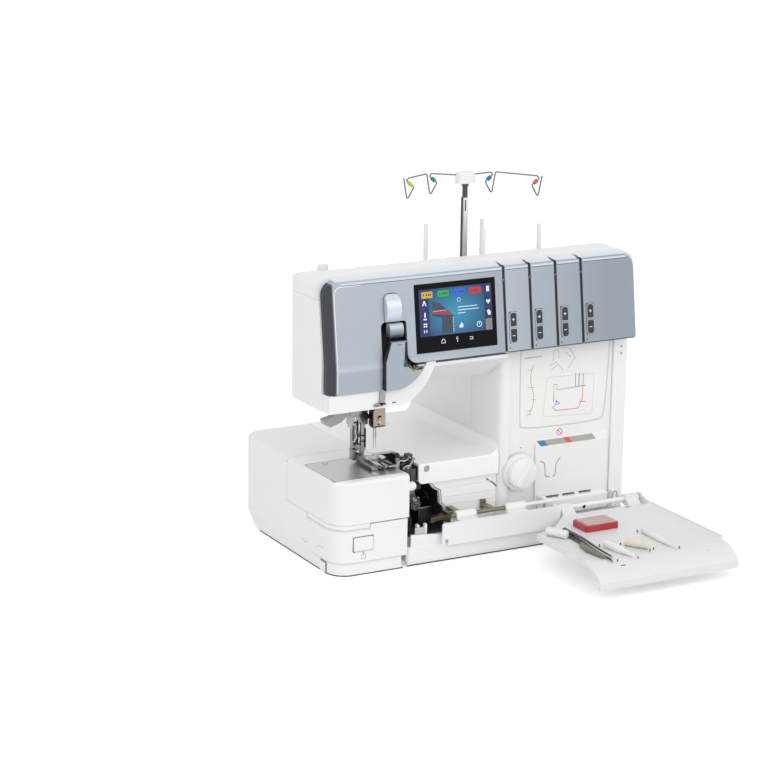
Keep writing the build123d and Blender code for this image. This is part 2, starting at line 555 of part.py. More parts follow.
# Tension keys: a plus and a minus key on each panel
for i in range(PANEL_COUNT):
    key_left = panel_span(i)[0] + 4
    for name, key_z in (("plus", PLUS_Z), ("minus", MINUS_Z)):
        with BuildPart() as key:
            y0 = FASCIA_Y - 0.9
            key_right = key_left + KEY_W
            cap = [(key_left, y0), (key_right, y0), (key_right, y0 + 5), (key_left, y0 + 5)]
            leaning(cap, (key_z, key_z + KEY_H))
            uprights = key.edges().filter_by(Axis.Y)
            fillet(uprights, 3)
            slab(
                (key_left - 1.5, key_left + KEY_W + 1.5),
                (fascia_y(key_z + KEY_H) + 5.2, fascia_y(key_z + KEY_H) + 6.2),
                (key_z - 1, key_z + KEY_H + 1),
            )
            stem_left, stem_right = key_left + 2, key_left + 7
            stem = [(stem_left, y0 + 4), (stem_right, y0 + 4), (stem_right, y0 + 8), (stem_left, y0 + 8)]
            leaning(stem, (key_z + 4, key_z + KEY_H - 4))
        keep(f"tension_{name}_{i + 1}", key)

# Groove liners: the black thread grooves, wrapped over the top edge, and the back of the needle slot
with BuildPart() as groove_liners:
    for i in range(PANEL_COUNT):
        left, right = groove_x(i), groove_x(i) + GROOVE_W
        y0 = FASCIA_Y + 1.5
        leaning([(left, y0), (right, y0), (right, y0 + 2.4), (left, y0 + 2.4)], (BAND_Z, FASCIA_TOP - 0.8))
        slab((left, right), (25.6, 41.6), (352.8, 355))
    slab((47, 95), (31, 34), (229, 330))
    slab((67, 79), (30, 35), (268, 301), mode=Mode.SUBTRACT)
keep("groove_liners", groove_liners)

# Touch screen: the black glass set into the fascia
with BuildPart() as touch_screen:
    glass = [(SCREEN_X[0] + 0.3, FASCIA_Y - 0.4), (SCREEN_X[1] - 0.3, FASCIA_Y - 0.4)]
    glass += [(SCREEN_X[1] - 0.3, FASCIA_Y + 5), (SCREEN_X[0] + 0.3, FASCIA_Y + 5)]
    leaning(glass, (SCREEN_Z[0] + 0.3, SCREEN_Z[1] - 0.3))
keep("touch_screen", touch_screen)

# Take-up cover: the convex flap above the needle slot and the tapered blade below it
with BuildPart() as take_up_cover:
    with BuildSketch(Plane.YZ.offset(across(FLAP_X - FLAP_W / 2))) as flap:
        with BuildLine():
            ThreePointArc((back(15), 303), (back(10.5), 318), (back(20.5), 335.6))
            Polyline((back(20.5), 335.6), (back(26), 335.6), (back(26), 303), (back(15), 303))
        make_face()
    extrude(flap.sketch, amount=FLAP_W)
    with BuildSketch(Plane.XZ.offset(-back(0))) as flap_front:
        with Locations((across(FLAP_X), FLAP_TOP - 30)):
            RectangleRounded(FLAP_W, 60, 7)
    extrude(flap_front.sketch, amount=-40, mode=Mode.INTERSECT)
    with BuildSketch(Plane.XZ.offset(-back(3))) as blade:
        low = FASCIA_BOTTOM + 0.4
        with BuildLine():
            Polyline((across(70), low), (across(54.5), low), (across(53.8), 257), (across(60.5), 281))
            Polyline((across(60.5), 281), (across(81), 281), (across(80.5), 262))
            ThreePointArc((across(80.5), 262), (across(85), 250.6), (across(96), 247.2))
            Line((across(96), 247.2), (across(105.5), 247.2))
            ThreePointArc((across(105.5), 247.2), (across(92.5), 231.8), (across(70), low))
        make_face()
    extrude(blade.sketch, amount=3 - 9)
    slab((63, 70), (9, 31), (FASCIA_BOTTOM + 6, FASCIA_BOTTOM + 16))
    slab((64, 75), (26, 31), (310, 322))
keep("take_up_cover", take_up_cover)

# Take-up lever: the piece that rises and falls with the needle behind the blade
with BuildPart() as take_up_lever:
    with BuildSketch(Plane.YZ.offset(across(62))) as hook:
        with BuildLine():
            ThreePointArc((back(12), 284), (back(9.6), 293), (back(13), 301))
            Polyline((back(13), 301), (back(22), 301), (back(22), 284), (back(12), 284))
        make_face()
    extrude(hook.sketch, amount=18.5)
    slab((70, 76), (21, 46), (291, 298))
keep("take_up_lever", take_up_lever)

# Bar bushes: the two guide bushes on the head's floor and the lug that carries the foot lifter
LIFTER_X = 30.0
LIFTER_Z = 191.0
LIFTER_PIN_R = 2.5
with BuildPart() as bar_bushes:
    for bush_x, bush_y, bore in ((NEEDLE_X, NEEDLE_Y, NEEDLE_BAR_R), (PRESSER_X, PRESSER_Y, PRESSER_R)):
        bar_z(bush_x, bush_y, bore + 1.4, (HEAD_Z + WALL, 230))
        bar_z(bush_x, bush_y, bore + RUNNING, (HEAD_Z, 231), mode=Mode.SUBTRACT)
    slab((LIFTER_X - 5, LIFTER_X + 5), (66, 70), (LIFTER_Z - 5, HEAD_Z))
    bar_y(LIFTER_X, LIFTER_Z, LIFTER_PIN_R, (53, 67))
keep("bar_bushes", bar_bushes)

# Foot lifter: the grey lever under the head that raises the presser foot
with BuildPart() as foot_lifter:
    lever = [(LIFTER_X + 4, LIFTER_Z + 4), (LIFTER_X + 4, LIFTER_Z - 4), (22, 176), (7, 171), (0, 175)]
    front_prism(lever + [(-2, 181), (8, 183), (17, 189), (23, 195)], (54, 65.5))
    fillet(foot_lifter.edges().filter_by(Axis.Y), 1.5)
    bar_y(LIFTER_X, LIFTER_Z, LIFTER_PIN_R + RUNNING, (50, 70), mode=Mode.SUBTRACT)
keep("foot_lifter", foot_lifter)

# Needle bar, with its collar
with BuildPart() as needle_bar:
    bar_z(NEEDLE_X, NEEDLE_Y, NEEDLE_BAR_R, (187, 300))
    bar_z(NEEDLE_X, NEEDLE_Y, 7, (187, 190))
keep("needle_bar", needle_bar)

# Needle clamp: the clamp below the bar and the two needles in it
with BuildPart() as needle_clamp:
    slab((65, 81.5), (53, 66), (163, 186.8))
    chamfer(needle_clamp.edges().filter_by(Axis.X).group_by(Axis.Z)[0], 3)
    fillet(needle_clamp.edges().filter_by(Axis.Z), 2)
    bar_y(72.5, 175, 2, (50.5, 54))
    for needle_x in (68.5, 71.5):
        bar_z(needle_x, NEEDLE_Y, 0.9, (150, 163))
        with Locations((across(needle_x), back(NEEDLE_Y), 143)):
            Cone(0.2, 0.6, 14)
keep("needle_clamp", needle_clamp)

# Presser bar: the bar, its guide block and the forked shank
FOOT_Y = 75.0
FOOT_PIVOT_Z = 125.0
with BuildPart() as presser_bar:
    slab((44, 66), (70, 84), (164, 184))
    fillet(presser_bar.edges().filter_by(Axis.X), 1.5)
    slab((48.5, 62), (71, 83), (132, 166))
    bar_z(PRESSER_X, PRESSER_Y, PRESSER_R, (150, 305))
    for ear in ((46, 50.4), (58.6, 62)):
        slab(ear, (71, 79), (121, 134))
    bar_x(FOOT_Y, FOOT_PIVOT_Z, 1.5, (47, 61))
keep("presser_bar", presser_bar)

# Presser foot: the sole with its needle slot, hinged on the shank so the toe can lift
with BuildPart() as presser_foot:
    slab((51, 84), (32, 68), (BED_Z + 0.5, BED_Z + 3.5))
    side_prism([(26, 121), (32, 117.5), (32, 120.5), (27, 122.5)], (60, 84))
    slab((51, 58), (60, 77), (118.2, 128))
    slab((51, 58), (60, 68), (BED_Z + 0.5, 128))
    bar_x(FOOT_Y, FOOT_PIVOT_Z, 1.5 + RUNNING, (50, 59), mode=Mode.SUBTRACT)
    slab((65.5, 75), (50, 66), (BED_Z, BED_Z + 5), mode=Mode.SUBTRACT)
    slab((69, 72), (20, 51), (BED_Z, BED_Z + 8), mode=Mode.SUBTRACT)
keep("presser_foot", presser_foot)

# Looper chamber: the dark well that holds the loopers
LOWER_LOOPER = (112.0, 52.0)
UPPER_LOOPER = (126.0, 58.0)
with BuildPart() as looper_chamber:
    slab((90.5, 161), (108, 111), (PAN_TOP + SEAM, 112))
    slab((158, 161), (40, 111), (PAN_TOP + SEAM, 91))
    slab((90.5, 161), (40, 111), (PAN_TOP + SEAM, 27.5))
    slab((90.5, 93.5), (40, 111), (PAN_TOP + SEAM, 60))
    slab((94, 102), (49, 53), (27, 84))
    for pivot in (LOWER_LOOPER, UPPER_LOOPER):
        bar_y(pivot[0], pivot[1], LOOPER_SHAFT_R + 3, (100, 109))
    for pivot in (LOWER_LOOPER, UPPER_LOOPER):
        bar_y(pivot[0], pivot[1], LOOPER_SHAFT_R + RUNNING, (98, 113), mode=Mode.SUBTRACT)
keep("looper_chamber", looper_chamber)

# Lower looper: rocks on its shaft below the stitch plate
with BuildPart() as lower_looper:
    bar_y(LOWER_LOOPER[0], LOWER_LOOPER[1], LOOPER_SHAFT_R, (72, 112))
    front_prism([(106, 52), (118, 52), (104, 84), (82, 101), (76, 102), (79, 97), (94, 84)], (74, 79))
    bar_y(LOWER_LOOPER[0], LOWER_LOOPER[1], 7, (73, 80))
keep("lower_looper", lower_looper)

# Upper looper: rocks on its shaft and rises through the looper opening
with BuildPart() as upper_looper:
    bar_y(UPPER_LOOPER[0], UPPER_LOOPER[1], LOOPER_SHAFT_R, (54, 112))
    blade = [(121, 58), (131, 58), (117, 92), (109, 112), (102, 127), (97, 128), (101, 118), (108, 92)]
    front_prism(blade, (56, 61))
    bar_y(UPPER_LOOPER[0], UPPER_LOOPER[1], 7, (55, 62))
keep("upper_looper", upper_looper)

# Upper knife: the moving blade and its holder, beside the nose
with BuildPart() as upper_knife:
    slab((91, 94), (38, 47), (104, 123))
    slab((93.8, 108), (36, 48), (98, 120))
    slab((94.2, 100), (37, 44), (62, 99))
    bar_x(42, 112, 3, (107, 111))
keep("upper_knife", upper_knife)

# Lower knife: the fixed blade on the nose
with BuildPart() as lower_knife:
    slab((NOSE_RIGHT + 0.2, NOSE_RIGHT + 2.4), (36, 52), (95, BED_Z - 0.2))
    slab((NOSE_RIGHT + 0.2, NOSE_RIGHT + 4), (40, 48), (92, 103))
keep("lower_knife", lower_knife)

# Feed dogs: two toothed rows on one carrier
with BuildPart() as feed_dogs:
    slab((56, 82), (46, 71), (104, 109))
    slab((80, 148), (63.5, 69), (104, 109))
    for row in ((58.2, 61.8), (76.2, 79.8)):
        slab(row, (46, 71), (109, 114))
        for tooth in range(9):
            start = 46.4 + tooth * 2.75
            side_prism([(start, 114), (start + 2.6, 114), (start + 0.4, 116.4)], row)
keep("feed_dogs", feed_dogs)

# Main shaft with its belt pulley
with BuildPart() as main_shaft:
    bar_x(SHAFT_Y, SHAFT_Z, SHAFT_R, (142, 418))
    bar_x(SHAFT_Y, SHAFT_Z, BIG_PULLEY_R, (380, 394))
keep("main_shaft", main_shaft)

# Handwheel on the right end of the shaft
with BuildPart() as handwheel:
    bar_x(SHAFT_Y, SHAFT_Z, 36, (419.5, WHEEL_RIGHT))
    fillet(handwheel.edges().filter_by(GeomType.CIRCLE), 4)
    bar_x(SHAFT_Y, SHAFT_Z, 24, (431, WHEEL_RIGHT + 1), mode=Mode.SUBTRACT)
    bar_x(SHAFT_Y, SHAFT_Z, 10, (418, 435))
keep("handwheel", handwheel)

# Motor: the can and its end boss
with BuildPart() as motor:
    bar_x(MOTOR_Y, MOTOR_Z, MOTOR_R, (250, 328))
    fillet(motor.edges().filter_by(GeomType.CIRCLE), 3)
    bar_x(MOTOR_Y, MOTOR_Z, 12, (327, 334))
    bar_x(MOTOR_Y, MOTOR_Z, 4 + RUNNING, (306, 335), mode=Mode.SUBTRACT)
keep("motor", motor)

# Motor pulley on its shaft
with BuildPart() as motor_pulley:
    bar_x(MOTOR_Y, MOTOR_Z, 4, (308, 398))
    bar_x(MOTOR_Y, MOTOR_Z, SMALL_PULLEY_R, (380, 394))
keep("motor_pulley", motor_pulley)

# Drive belt: a closed loop round the two pulleys
with BuildPart() as drive_belt:
    with BuildSketch(Plane.YZ.offset(across(382))) as loop:
        for reach, mode in ((BELT_T, Mode.ADD), (0.0, Mode.SUBTRACT)):
            with BuildSketch(mode=Mode.PRIVATE) as ring:
                with Locations((back(SHAFT_Y), SHAFT_Z)):
                    Circle(BIG_PULLEY_R + 0.35 + reach)
                with Locations((back(MOTOR_Y), MOTOR_Z)):
                    Circle(SMALL_PULLEY_R + 0.35 + reach)
                make_hull()
            add(ring.sketch, mode=mode)
    extrude(amount=10)
keep("drive_belt", drive_belt)

# Hinge rod: the steel rod under the bed's front, with its bow-shaped end bracket and two webs
with BuildPart() as hinge_rod:
    bar_x(ROD_Y, ROD_Z, ROD_R, (125, 300))
    bow = [(119, 50), (119, 57), (133, 55.8), (141, 57), (142, 60), (147, 60)]
    front_prism(bow + [(147, 47), (142, 48), (133, 52)], (5, 17))
    slab((146, 165), (14.4, 17), (50.5, 57.5))
    slab((158, 165), (16, 36), (50.5, 57.5))
    slab((206, 213), (ROD_Y, 36), (ROD_Z - 1.5, ROD_Z + 1.5))
    slab((206, 213), (33, 36), (ROD_Z - 6, ROD_Z + 6))
    slab((285, 292), (ROD_Y, 29.5), (ROD_Z - 1.5, ROD_Z + 1.5))
    slab((285, 292), (26.5, 29.5), (38, ROD_Z))
keep("hinge_rod", hinge_rod)

# Cover carriage: the apron that slides along the rod and carries the cover's tilt pin
with BuildPart() as cover_carriage:
    slab((131, 298), (-5, -2), (22, 50))
    fillet(cover_carriage.edges().filter_by(Axis.Y), 3)
    for knuckle in ((155, 182), (225, 253)):
        bar_x(ROD_Y, ROD_Z, 5.5, knuckle)
        slab(knuckle, (-5, 6), (46.5, 50.5))
    for knuckle in ((155, 182), (225, 253)):
        bar_x(ROD_Y, ROD_Z, ROD_R + RUNNING, knuckle, mode=Mode.SUBTRACT)
    slab((293.5, 299), (-5, 9), (37, 49))
    bar_x(TILT_Y, TILT_Z, TILT_R, (290, 420))
    slab((134, 139), (-6, -1), (16, 30), mode=Mode.SUBTRACT)
keep("cover_carriage", cover_carriage)

# Looper cover: the open door, with its rims, hinge knuckles and the flared lip along its top edge
with BuildPart() as looper_cover:
    plan = [(COVER_LEFT, -176), (COVER_LEFT, -66), (236, -56), (268, -42), (300, -8.5), (COVER_RIGHT, -8.5)]
    top_prism(plan + [(COVER_RIGHT, -176)], (COVER_BOTTOM, COVER_FLOOR))
    slab((COVER_LEFT, COVER_LEFT + 3), (-176, -66), (COVER_FLOOR - 1, COVER_FLOOR + 4))
    left_slope = [(COVER_LEFT + 2, COVER_FLOOR + 3.6), (COVER_LEFT + 15, COVER_FLOOR - 1)]
    front_prism(left_slope + [(COVER_LEFT + 2, COVER_FLOOR - 1)], (-176, -66))
    slab((COVER_RIGHT - 3, COVER_RIGHT), (-172, -8.5), (COVER_FLOOR, COVER_FLOOR + 5))
    right_slope = [(COVER_RIGHT - 2, COVER_FLOOR + 4.6), (COVER_RIGHT - 20, COVER_FLOOR - 1)]
    front_prism(right_slope + [(COVER_RIGHT - 2, COVER_FLOOR - 1)], (-172, -20))
    ear = [(-12, COVER_BOTTOM), (-12, 43), (TILT_Y, 49), (9, 46), (8, 38)]
    side_prism(ear, (COVER_RIGHT - 3, COVER_RIGHT))
    with BuildSketch(Plane.YZ.offset(across(COVER_LEFT))) as lip:
        with BuildLine():
            ThreePointArc((back(-175), COVER_FLOOR), (back(-192.5), 33), (back(LIP_FRONT), 21.5))
            Polyline((back(LIP_FRONT), 21.5), (back(LIP_FRONT), 12.5), (back(-202.5), 12.5))
            Line((back(-202.5), 12.5), (back(-202.5), 19.5))
            ThreePointArc((back(-202.5), 19.5), (back(-190), 29.6), (back(-175), COVER_BOTTOM))
            Line((back(-175), COVER_BOTTOM), (back(-175), COVER_FLOOR))
        make_face()
    extrude(lip.sketch, amount=COVER_RIGHT - COVER_LEFT)
    for knuckle in ((301, 319), (398, 416)):
        bar_x(TILT_Y, TILT_Z, 6, knuckle)
        web = [(-10, COVER_BOTTOM), (-10, COVER_FLOOR), (2, 48), (6, 38), (-2, COVER_BOTTOM)]
        side_prism(web, knuckle)
        bar_x(TILT_Y, TILT_Z, TILT_R + RUNNING, knuckle, mode=Mode.SUBTRACT)
keep("looper_cover", looper_cover)

# Needle case: the red box kept in the cover
with BuildPart() as needle_case:
    slab((288, 336), (-80, -47), (COVER_FLOOR, COVER_FLOOR + 8))
    fillet(needle_case.edges().filter_by(Axis.Z), 4)
keep("needle_case", needle_case)

# Hand tools: tweezers, screwdriver, brush and thread converter lying in the cover
with BuildPart() as hand_tools:
    tweezers = [(254, -183), (257, -183), (265, -120), (267, -64), (259, -64), (254, -120)]
    top_prism(tweezers, (COVER_FLOOR, COVER_FLOOR + 5))
    bar_y(280, COVER_FLOOR + 5, 5, (-170, -134))
    bar_y(280, COVER_FLOOR + 5, 2, (-183, -169))
    bar_y(344, COVER_FLOOR + 3.5, 3.5, (-184, -124))
    bar_x(-158, COVER_FLOOR + 6, 6, (304, 330))
keep("hand_tools", hand_tools)

# Threading dial: the round knob on the column, with a grip bar across it
with BuildPart() as threading_dial:
    bar_y(DIAL_X, DIAL_Z, 23, (25, 29.7))
    bar_y(DIAL_X, DIAL_Z, 19.5, (16, 26))
    fillet(threading_dial.edges().filter_by(GeomType.CIRCLE).group_by(Axis.Y)[0], 2.5)
    bar_y(DIAL_X, DIAL_Z, LOOPER_SHAFT_R, (29, 40))
    bar_y(DIAL_X, DIAL_Z, 6, (37, 40))
keep("threading_dial", threading_dial)

# Spool tray behind the arm
with BuildPart() as spool_tray:
    slab((180, 405), (119.5, 236), (TRAY_Z + SEAM, TRAY_Z + 7))
    fillet(spool_tray.edges().filter_by(Axis.Z), 12)
    slab((184, 401), (123.5, 232), (TRAY_Z + 3.3, TRAY_Z + 8), mode=Mode.SUBTRACT)
    bar_z(POLE_X, POLE_Y, POLE_R + 0.1, (TRAY_Z, TRAY_Z + 5), mode=Mode.SUBTRACT)
keep("spool_tray", spool_tray)

# Spool pins: four pins with their rests, in two staggered rows
with BuildPart() as spool_pins:
    for pin_x, pin_y in SPOOL_PINS:
        bar_z(pin_x, pin_y, 12, (TRAY_Z + 3.3, TRAY_Z + 6))
        bar_z(pin_x, pin_y, 2.8, (TRAY_Z + 5, SPOOL_PIN_TOP))
        bar_z(pin_x, pin_y, 4.5, (TRAY_Z + 5, TRAY_Z + 20))
keep("spool_pins", spool_pins)

# Thread stand pole: the fixed outer tube, closed at its foot
with BuildPart() as pole_outer_tube:
    bar_z(POLE_X, POLE_Y, POLE_R, (TRAY_Z - 6, 410))
    bar_z(POLE_X, POLE_Y, POLE_INNER_R + RUNNING, (TRAY_Z - 3, 411), mode=Mode.SUBTRACT)
keep("pole_outer_tube", pole_outer_tube)

# Inner tube, which telescopes
with BuildPart() as pole_inner_tube:
    bar_z(POLE_X, POLE_Y, POLE_INNER_R, (330, 428))
keep("pole_inner_tube", pole_inner_tube)

# The guide is turned a little about the pole, so its places are a reach from the pole and a height
HEAD_BLOCK_Z = (428.0, 442.0)
GUIDE_PLANE = Plane(origin=(across(POLE_X), back(POLE_Y), 0)).rotated((0, 0, -GUIDE_TURN))


def guide_point(reach, z):
    return GUIDE_PLANE.from_local_coords((reach, 0, z))


# Guide head: the rounded block on top of the pole
with BuildPart() as guide_head:
    with BuildSketch(GUIDE_PLANE.offset(HEAD_BLOCK_Z[0])) as block:
        SlotOverall(26, 15)
    extrude(amount=HEAD_BLOCK_Z[1] - HEAD_BLOCK_Z[0])
    fillet(guide_head.edges().group_by(Axis.Z)[-1], 2)
    for side in (-1, 1):
        start, end = guide_point(side * 7, 439), guide_point(side * 20, 439)
        with BuildSketch(Plane(origin=start, z_dir=end - start)) as bore:
            Circle(WIRE_R)
        extrude(bore.sketch, amount=14, mode=Mode.SUBTRACT)
keep("guide_head", guide_head)


def hook(side, reach, z):
    """The corners of one open thread hook, which hangs from the wire and comes back up."""
    return [
        (side * reach, z),
        (side * (reach + 3.2), z - 3.2),
        (side * (reach - 7.0), z - 11.8),
        (side * (reach + 1.8), z - 28.0),
        (side * (reach + 6.6), z),
    ]


def wire(points):
    """A wire bent at each corner, swept along its own path."""
    places = [guide_point(reach, z) for reach, z in points]
    with BuildLine(mode=Mode.PRIVATE) as path:
        FilletPolyline(*places, radius=1.4)
    with BuildSketch(Plane(origin=path.line @ 0, z_dir=path.line % 0), mode=Mode.PRIVATE) as section:
        Circle(WIRE_R)
    sweep(section.sketch, path=path.line)


def bead(corners):
    """A colour bead clipped round the second run of a hook."""
    start, end = guide_point(*corners[1]), guide_point(*corners[2])
    along = Plane(origin=start + (end - start) * 0.3, z_dir=end - start)
    with BuildSketch(along) as ring:
        Circle(BEAD_R)
        Circle(WIRE_R + RUNNING, mode=Mode.SUBTRACT)
    extrude(ring.sketch, amount=6)


# Guide wires: one bent wire to each side, each with two thread hooks and a bead on every hook
HOOKS = {-1: [(44.5, 441.5), (74.7, 437.0)], 1: [(33.6, 440.5), (96.4, 433.5)]}
with BuildPart() as guide_wires:
    for side, places in HOOKS.items():
        corners = [hook(side, reach, z) for reach, z in places]
        wire([(side * 8, 439), (side * 16, 439)] + corners[0] + corners[1])
        for hanger in corners:
            bead(hanger)
keep("guide_wires", guide_wires)

# Power inlet on the right side
with BuildPart() as power_inlet:
    slab((403, 416), (200, 232), (48, 72))
    slab((RIGHT, 416.5), (197, 235), (45, 75))
    slab((405, 420), (204, 228), (52, 68), mode=Mode.SUBTRACT)
    for pin_y in (209, 223):
        bar_x(pin_y, 60, 1.6, (404, 414))
keep("power_inlet", power_inlet)

# Power switch: a rocker above the inlet, on a pin between two bosses
with BuildPart() as power_switch:
    slab((407, 414), (207, 225), (SWITCH_Z - 9, SWITCH_Z + 9))
    face = [(413, -8.5), (417.5, -8.5), (415.5, 0), (417.5, 8.5), (413, 8.5)]
    front_prism([(x, SWITCH_Z + z) for x, z in face], (208, 224))
    bar_y(SWITCH_X, SWITCH_Z, SWITCH_PIN_R, (201, 231))
keep("power_switch", power_switch)
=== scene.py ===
# %% [markdown]
# # An overlock machine with its looper cover open
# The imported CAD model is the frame: shells, bars, keys and joints are already in their true places.
# This lesson dresses it. It sets up the camera and the light, paints every CAD piece with a node
# material, softens the edges of the moulded shells and adds the small things that CAD leaves out,
# such as the picture on the screen, the threading chart and the fittings round the needle.

# %% Load the frame
import bpy
import bmesh
import json
import math
from mathutils import Matrix, Vector


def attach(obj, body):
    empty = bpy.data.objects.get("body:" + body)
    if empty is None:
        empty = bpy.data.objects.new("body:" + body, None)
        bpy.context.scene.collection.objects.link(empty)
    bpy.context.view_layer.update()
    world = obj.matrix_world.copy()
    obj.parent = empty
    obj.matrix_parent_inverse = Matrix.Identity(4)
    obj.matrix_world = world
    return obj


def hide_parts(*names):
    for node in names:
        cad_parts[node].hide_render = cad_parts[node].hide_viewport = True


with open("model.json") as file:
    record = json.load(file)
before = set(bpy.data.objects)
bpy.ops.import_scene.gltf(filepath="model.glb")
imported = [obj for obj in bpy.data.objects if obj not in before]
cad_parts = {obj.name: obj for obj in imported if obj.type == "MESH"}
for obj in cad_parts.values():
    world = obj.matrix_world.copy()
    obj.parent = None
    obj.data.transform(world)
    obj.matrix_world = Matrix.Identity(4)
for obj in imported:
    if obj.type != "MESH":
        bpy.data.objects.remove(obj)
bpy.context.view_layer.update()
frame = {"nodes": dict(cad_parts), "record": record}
nodes = frame["nodes"]
scene = bpy.context.scene

# %% [markdown]
# ## Places
# A builder measures this machine from the front left corner of its slide-on table, in millimetres.
# Blender wants metres in the CAD frame, so one small function turns the first into the second.
# The metallic front leans back a little, so places on it need their own function.

# %% Places on the machine
TABLE_CORNER = Vector((-209, -26, 0))
BAND_Z, FASCIA_TOP = 251, 354
FASCIA_Y, FASCIA_LEAN = 10, 14


def at(x, y, z):
    """A place in millimetres from the table's front left corner, as metres in the frame."""
    return (Vector((x, y, z)) + TABLE_CORNER) * 0.001


def on_fascia(x, z, out):
    """A place on the leaning front, lifted off it by out millimetres."""
    return at(x, FASCIA_Y + FASCIA_LEAN * (z - BAND_Z) / (FASCIA_TOP - BAND_Z) - out, z)


def on_front(y):
    """Places on an upright face that looks forward, at a given depth."""
    return lambda x, z, out: at(x, y - out, z)


def on_top(z):
    """Places on a level face, at a given height."""
    return lambda x, y, out: at(x, y, z + out)


print("the fascia's top edge is at", tuple(round(v, 4) for v in on_fascia(0, FASCIA_TOP, 0)))

# %% [markdown]
# ## Camera
# The photograph was taken from the front left and a little above, with a long lens.
# Three angles and a focal length in pixels came from lining up straight edges of the machine.

# %% Camera
TURN, DIP, ROLL = math.radians(28.76), math.radians(14.68), math.radians(0.84)
FOCAL_PIXELS, IMAGE_PIXELS, SENSOR_MM = 2469, 768, 36
CAMERA_PLACE = (-1301.6, -2460.9, 968.5)
forward = Vector((math.sin(TURN) * math.cos(DIP), math.cos(TURN) * math.cos(DIP), -math.sin(DIP)))
level = Vector((math.cos(TURN), -math.sin(TURN), 0))
rise = level.cross(forward)
right = level * math.cos(ROLL) + rise * math.sin(ROLL)
above = rise * math.cos(ROLL) - level * math.sin(ROLL)
camera = bpy.data.objects.new("camera", bpy.data.cameras.new("camera"))
camera.data.sensor_width = SENSOR_MM
camera.data.lens = FOCAL_PIXELS * SENSOR_MM / IMAGE_PIXELS
facing = Matrix((right, above, -forward)).transposed().to_4x4()
camera.matrix_world = Matrix.Translation(at(*CAMERA_PLACE)) @ facing
scene.collection.objects.link(camera)
scene.camera = camera
print("lens", round(camera.data.lens, 1), "mm")

# %% [markdown]
# ## Studio
# The machine stands on a white sweep. The floor is a pale diffuse sheet that also shines a little
# to the camera, so it stays white and keeps only a soft contact shadow. The world does the same for
# what is behind, and lights the front more than the back. Three large soft lamps do the rest.

# %% Node helpers
def node(tree, kind, **values):
    """A node of a kind, with its plain settings."""
    made = tree.nodes.new(kind)
    for key, value in values.items():
        setattr(made, key, value)
    return made


def link(tree, start, end):
    tree.links.new(start, end)


def ranged(tree, value, low, high, start=0.3, end=0.7):
    """A value carried from one range to another, and held at the ends."""
    made = node(tree, "ShaderNodeMapRange")
    for title, number in (("From Min", start), ("From Max", end), ("To Min", low), ("To Max", high)):
        made.inputs[title].default_value = number
    link(tree, value, made.inputs["Value"])
    return made.outputs["Result"]


def seen_by_eye(tree):
    """One for camera, mirror and glass rays, and zero for the rays that light the object."""
    path = node(tree, "ShaderNodeLightPath")
    total = node(tree, "ShaderNodeMath", operation="ADD")
    link(tree, path.outputs["Is Camera Ray"], total.inputs[0])
    link(tree, path.outputs["Is Glossy Ray"], total.inputs[1])
    capped = node(tree, "ShaderNodeMath", operation="ADD", use_clamp=True)
    link(tree, total.outputs[0], capped.inputs[0])
    link(tree, path.outputs["Is Transmission Ray"], capped.inputs[1])
    return capped.outputs[0]


print("node helpers ready")

# %% World
scene.view_settings.view_transform = "Standard"
AMBIENT_FRONT, AMBIENT_BACK = 1.06, 0.44
world = bpy.data.worlds.new("studio")
scene.world = world
world.use_nodes = True
sky = world.node_tree
sky.nodes.clear()
strength = node(sky, "ShaderNodeMapRange")
strength.inputs["To Max"].default_value = 1
heading = node(sky, "ShaderNodeTexCoord")
parts = node(sky, "ShaderNodeSeparateXYZ")
link(sky, heading.outputs["Generated"], parts.inputs[0])
link(sky, ranged(sky, parts.outputs["Y"], AMBIENT_FRONT, AMBIENT_BACK, -1, 1), strength.inputs["To Min"])
background = node(sky, "ShaderNodeBackground")
background.inputs["Color"].default_value = (1, 1, 1, 1)
link(sky, seen_by_eye(sky), strength.inputs["Value"])
link(sky, strength.outputs["Result"], background.inputs["Strength"])
link(sky, background.outputs[0], node(sky, "ShaderNodeOutputWorld").inputs["Surface"])
print("world:", world.name)

# %% Floor
FLOOR_GLOW = 0.37
paper = bpy.data.materials.new("paper_sweep")
paper.use_nodes = True
sheet = paper.node_tree
sheet.nodes.clear()
lit = node(sheet, "ShaderNodeBsdfDiffuse")
lit.inputs["Color"].default_value = (0.9, 0.9, 0.9, 1)
glow = node(sheet, "ShaderNodeEmission")
share = node(sheet, "ShaderNodeMath", operation="MULTIPLY")
share.inputs[1].default_value = FLOOR_GLOW
blend = node(sheet, "ShaderNodeAddShader")
link(sheet, seen_by_eye(sheet), share.inputs[0])
link(sheet, share.outputs[0], glow.inputs["Strength"])
link(sheet, lit.outputs[0], blend.inputs[0])
link(sheet, glow.outputs[0], blend.inputs[1])
link(sheet, blend.outputs[0], node(sheet, "ShaderNodeOutputMaterial").inputs["Surface"])

bm = bmesh.new()
bmesh.ops.create_grid(bm, x_segments=2, y_segments=2, size=12)
floor_mesh = bpy.data.meshes.new("floor")
bm.to_mesh(floor_mesh)
bm.free()
floor = bpy.data.objects.new("floor", floor_mesh)
floor_mesh.materials.append(paper)
scene.collection.objects.link(floor)
print("floor:", floor.name)


# %% Lamps
def softbox(name, place, size, watts):
    """A round soft lamp that looks at the machine's middle."""
    lamp = bpy.data.lights.new(name, "AREA")
    lamp.shape, lamp.size, lamp.energy = "DISK", size, watts
    box = bpy.data.objects.new(name, lamp)
    aim = (Vector(place) - Vector(MACHINE_MIDDLE)).to_track_quat("Z", "Y").to_matrix().to_4x4()
    box.matrix_world = Matrix.Translation(place) @ aim
    scene.collection.objects.link(box)


